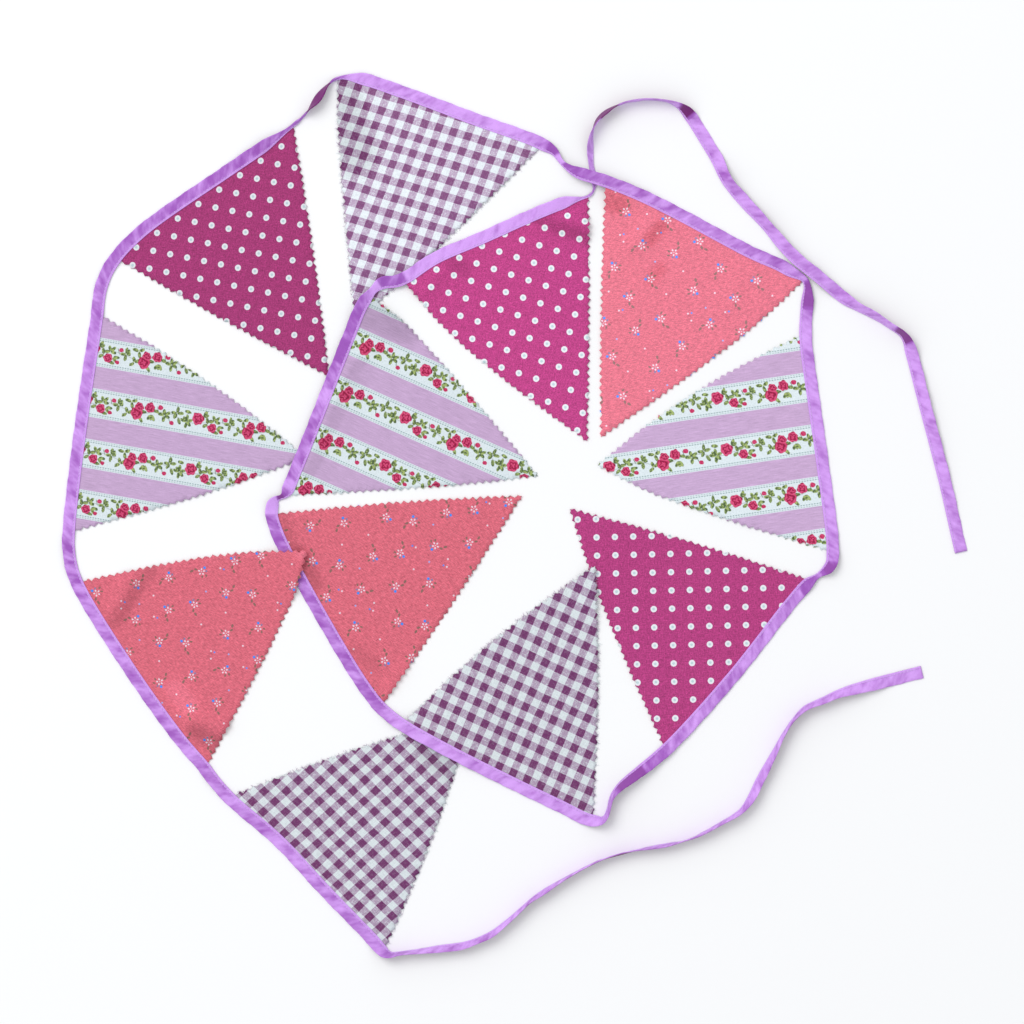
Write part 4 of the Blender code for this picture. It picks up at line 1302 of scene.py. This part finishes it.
def build_pennants(cloth):
    """Builds every pennant of one cloth, with its thickness."""
    sizes = bpy.context.scene.bunting_sizes
    route = route_now()
    made = 0
    for number, row in enumerate(PENNANTS, start=1):
        if row[1] != cloth:
            continue
        pennant = Pennant(route, row, number, sizes)
        points, faces = pennant.surface()
        cuts = [pennant.cut_place(point) for point in points]
        tones = [pennant.tone_at(point[:2]) for point in points]
        obj = make_object(f"{pennant.name}_cloth", points, faces, cloth, cuts, tone=tones)
        shell = obj.modifiers.new("thickness", "SOLIDIFY")
        shell.thickness = sizes.cloth
        shell.offset = 0.0
        node = f"{pennant.name}_{cloth}"
        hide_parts(node)
        start = pennant.exit[0]
        end = pennant.exit[-1]
        width = math.dist(start[:2], end[:2]) * MM
        away, _ = distance_to_line(pennant.apex, start[:2], end[:2])
        height = (away + TUCK + SHOW) * MM
        area = width * away * MM * 0.5 + width * (TUCK + SHOW) * MM
        made += 1
    if not made:
        raise RuntimeError(f"no pennant is cut from {cloth}")


class BUNTING_OT_dots(bpy.types.Operator):
    """Build the pennants of dotted magenta canvas"""

    bl_idname = "bunting.dots"
    bl_label = "Dotted Pennants"

    def execute(self, context):
        build_pennants("dot")
        return {"FINISHED"}


class BUNTING_OT_stripes(bpy.types.Operator):
    """Build the pennants of striped cloth with roses"""

    bl_idname = "bunting.stripes"
    bl_label = "Striped Pennants"

    def execute(self, context):
        build_pennants("stripe")
        return {"FINISHED"}


class BUNTING_OT_coral(bpy.types.Operator):
    """Build the pennants of coral cloth with small flowers"""

    bl_idname = "bunting.coral"
    bl_label = "Coral Pennants"

    def execute(self, context):
        build_pennants("coral")
        return {"FINISHED"}


class BUNTING_OT_gingham(bpy.types.Operator):
    """Build the pennants of purple gingham"""

    bl_idname = "bunting.gingham"
    bl_label = "Gingham Pennants"

    def execute(self, context):
        build_pennants("gingham")
        return {"FINISHED"}


def thread_tube(path, radius, flatness, points, faces):
    """Adds a four-sided thread along a path, with pointed ends."""
    rings = []
    for k, place in enumerate(path):
        before = Vector(path[max(0, k - 1)])
        after = Vector(path[min(len(path) - 1, k + 1)])
        along = (after - before).normalized()
        side = along.cross(Vector((0.0, 0.0, 1.0)))
        side = side.normalized() if side.length > 1e-6 else Vector((1.0, 0.0, 0.0))
        up = side.cross(along)
        size = radius * (0.55 if k in (0, len(path) - 1) else 1.0)
        ring = []
        for turn in range(4):
            angle = turn * 0.5 * math.pi
            offset = side * (math.cos(angle) * size) + up * (math.sin(angle) * size * flatness)
            ring.append(len(points))
            points.append(tuple(Vector(place) + offset))
        rings.append(ring)
    for first, second in zip(rings, rings[1:]):
        for k in range(4):
            faces.append((first[k], first[(k + 1) % 4], second[(k + 1) % 4], second[k]))
    faces.append(tuple(reversed(rings[0])))
    faces.append(tuple(rings[-1]))


class BUNTING_OT_stitching(bpy.types.Operator):
    """Sew a line of stitches along the tape's open edge"""

    bl_idname = "bunting.stitching"
    bl_label = "Stitching"

    def execute(self, context):
        route = route_now()
        stitch = context.scene.bunting_sizes.stitch / MM
        points = []
        faces = []
        count = int((route.distance[-1] - 8.0) / stitch)
        for k in range(count):
            start = 4.0 + k * stitch
            path = []
            for share, dip in ((0.0, -0.12), (0.25, 0.1), (0.6, 0.1), (0.85, -0.12)):
                index = int(np.searchsorted(route.distance, start + share * stitch))
                over = 0.5 * route.thick[index] + route.pucker(index, STITCH_LINE) - 0.06 + dip
                path.append(route.point(index, STITCH_LINE, over))
            thread_tube(path, STITCH_THREAD, 0.6, points, faces)
        obj = make_object("tape_stitches", points, faces, "thread", points)
        outward(obj)
        return {"FINISHED"}


class BUNTING_OT_frays(bpy.types.Operator):
    """Fray the cut edges of the gingham into short threads"""

    bl_idname = "bunting.frays"
    bl_label = "Frayed Threads"

    def execute(self, context):
        sizes = context.scene.bunting_sizes
        route = route_now()
        rng = random.Random(31)
        for number, row in enumerate(PENNANTS, start=1):
            if row[1] != "gingham":
                continue
            pennant = Pennant(route, row, number, sizes)
            points = []
            faces = []
            for side in pennant.sides:
                middle = np.mean(pennant.outline, axis=0)
                for a, b in zip(side, side[1:]):
                    for _ in range(3 if rng.random() < 0.75 else 1):
                        self.fray(pennant, np.array(a), np.array(b), middle, rng, points, faces)
            obj = make_object(f"{pennant.name}_frays", points, faces, "fray", points)
            outward(obj)
        return {"FINISHED"}

    def fray(self, pennant, a, b, middle, rng, points, faces):
        """One loose thread that leaves the edge between two of its points."""
        run = b - a
        root = a + run * rng.random()
        normal = np.array((run[1], -run[0])) / max(1e-6, math.hypot(*run))
        if normal @ (root - middle) < 0.0:
            normal = -normal
        reach = rng.uniform(*FRAY_REACH)
        lean = rng.uniform(-0.9, 0.9)
        along = np.array((-normal[1], normal[0]))
        inner = root - normal * 0.8
        tip = root + normal * reach + along * lean * reach
        knee = root + normal * reach * 0.45 + along * lean * reach * 0.15
        low = pennant.height(tuple(inner))
        raised = low + rng.uniform(-0.1, 0.2)
        path = [(*inner, low), (*root, low), (*knee, raised), (*tip, max(0.15, low * 0.6))]
        thread_tube(path, rng.uniform(*FRAY_THREAD), 0.9, points, faces)


def area_light(name, place, target, size, power, colour):
    light = bpy.data.lights.new(name, "AREA")
    light.shape = "DISK"
    light.size = size
    light.energy = power
    light.color = colour
    obj = new_object(name, light)
    obj.location = place
    obj.rotation_euler = (Vector(target) - Vector(place)).to_track_quat("-Z", "Y").to_euler()


class BUNTING_OT_stage(bpy.types.Operator):
    """Set the pale floor, the soft lights and the camera above"""

    bl_idname = "bunting.stage"
    bl_label = "Stage"

    def execute(self, context):
        scene = context.scene
        mesh = bpy.data.meshes.new("floor")
        form = bmesh.new()
        bmesh.ops.create_grid(form, x_segments=1, y_segments=1, size=FLOOR_HALF)
        form.to_mesh(mesh)
        form.free()
        floor = new_object("floor", mesh)
        paint = Paint("pale_floor")
        paint.shader.inputs["Base Color"].default_value = FLOOR_GREY
        paint.shader.inputs["Roughness"].default_value = 0.9
        paint.shader.inputs["Specular IOR Level"].default_value = 0.1
        mesh.materials.append(paint.material)
        area_light("window", WINDOW_PLACE, (0.0, 0.0, 0.0), WINDOW_SIZE, WINDOW_POWER, WINDOW_COLOUR)
        world = bpy.data.worlds.new("studio")
        world.use_nodes = True
        background = world.node_tree.nodes["Background"]
        background.inputs["Color"].default_value = WORLD_COLOUR
        background.inputs["Strength"].default_value = WORLD_LIGHT
        scene.world = world
        scene.view_settings.view_transform = "Standard"
        camera = bpy.data.cameras.new("camera")
        camera.sensor_width = SENSOR
        camera.lens = SENSOR * CAMERA_HEIGHT / (FRAME_SIDE * FRAME_SCALE * MM)
        view = new_object("camera", camera)
        x = (0.5 * FRAME_SIDE - FRAME_X) * FRAME_SCALE - ORIGIN_X
        y = (FRAME_Y - 0.5 * FRAME_SIDE) * FRAME_SCALE - ORIGIN_Y
        view.location = (x * MM, y * MM, CAMERA_HEIGHT)
        scene.camera = view
        return {"FINISHED"}


class BUNTING_PT_panel(bpy.types.Panel):
    """The bunting's steps and settings in the sidebar"""

    bl_idname = "BUNTING_PT_panel"
    bl_label = "Bunting"
    bl_space_type = "VIEW_3D"
    bl_region_type = "UI"
    bl_category = "Bunting"

    def draw(self, context):
        layout = self.layout
        for operator in OPERATORS:
            layout.operator(operator.bl_idname)
        for group in (context.scene.bunting_sizes, context.scene.bunting_colours):
            column = layout.column()
            for key in group.__annotations__:
                column.prop(group, key)


OPERATORS = (
    BUNTING_OT_stage,
    BUNTING_OT_tape,
    BUNTING_OT_stitching,
    BUNTING_OT_dots,
    BUNTING_OT_stripes,
    BUNTING_OT_coral,
    BUNTING_OT_gingham,
    BUNTING_OT_frays,
)
CLASSES = (BuntingSizes, BuntingColours, *OPERATORS, BUNTING_PT_panel)


def register():
    for cls in CLASSES:
        bpy.utils.register_class(cls)
    bpy.types.Scene.bunting_sizes = bpy.props.PointerProperty(type=BuntingSizes)
    bpy.types.Scene.bunting_colours = bpy.props.PointerProperty(type=BuntingColours)


def unregister():
    del bpy.types.Scene.bunting_colours
    del bpy.types.Scene.bunting_sizes
    for cls in reversed(CLASSES):
        bpy.utils.unregister_class(cls)


def main():
    register()
    bpy.ops.bunting.stage()
    bpy.ops.bunting.tape()
    bpy.ops.bunting.stitching()
    bpy.ops.bunting.dots()
    bpy.ops.bunting.stripes()
    bpy.ops.bunting.coral()
    bpy.ops.bunting.gingham()
    bpy.ops.bunting.frays()


if __name__ == "__main__":
    main()
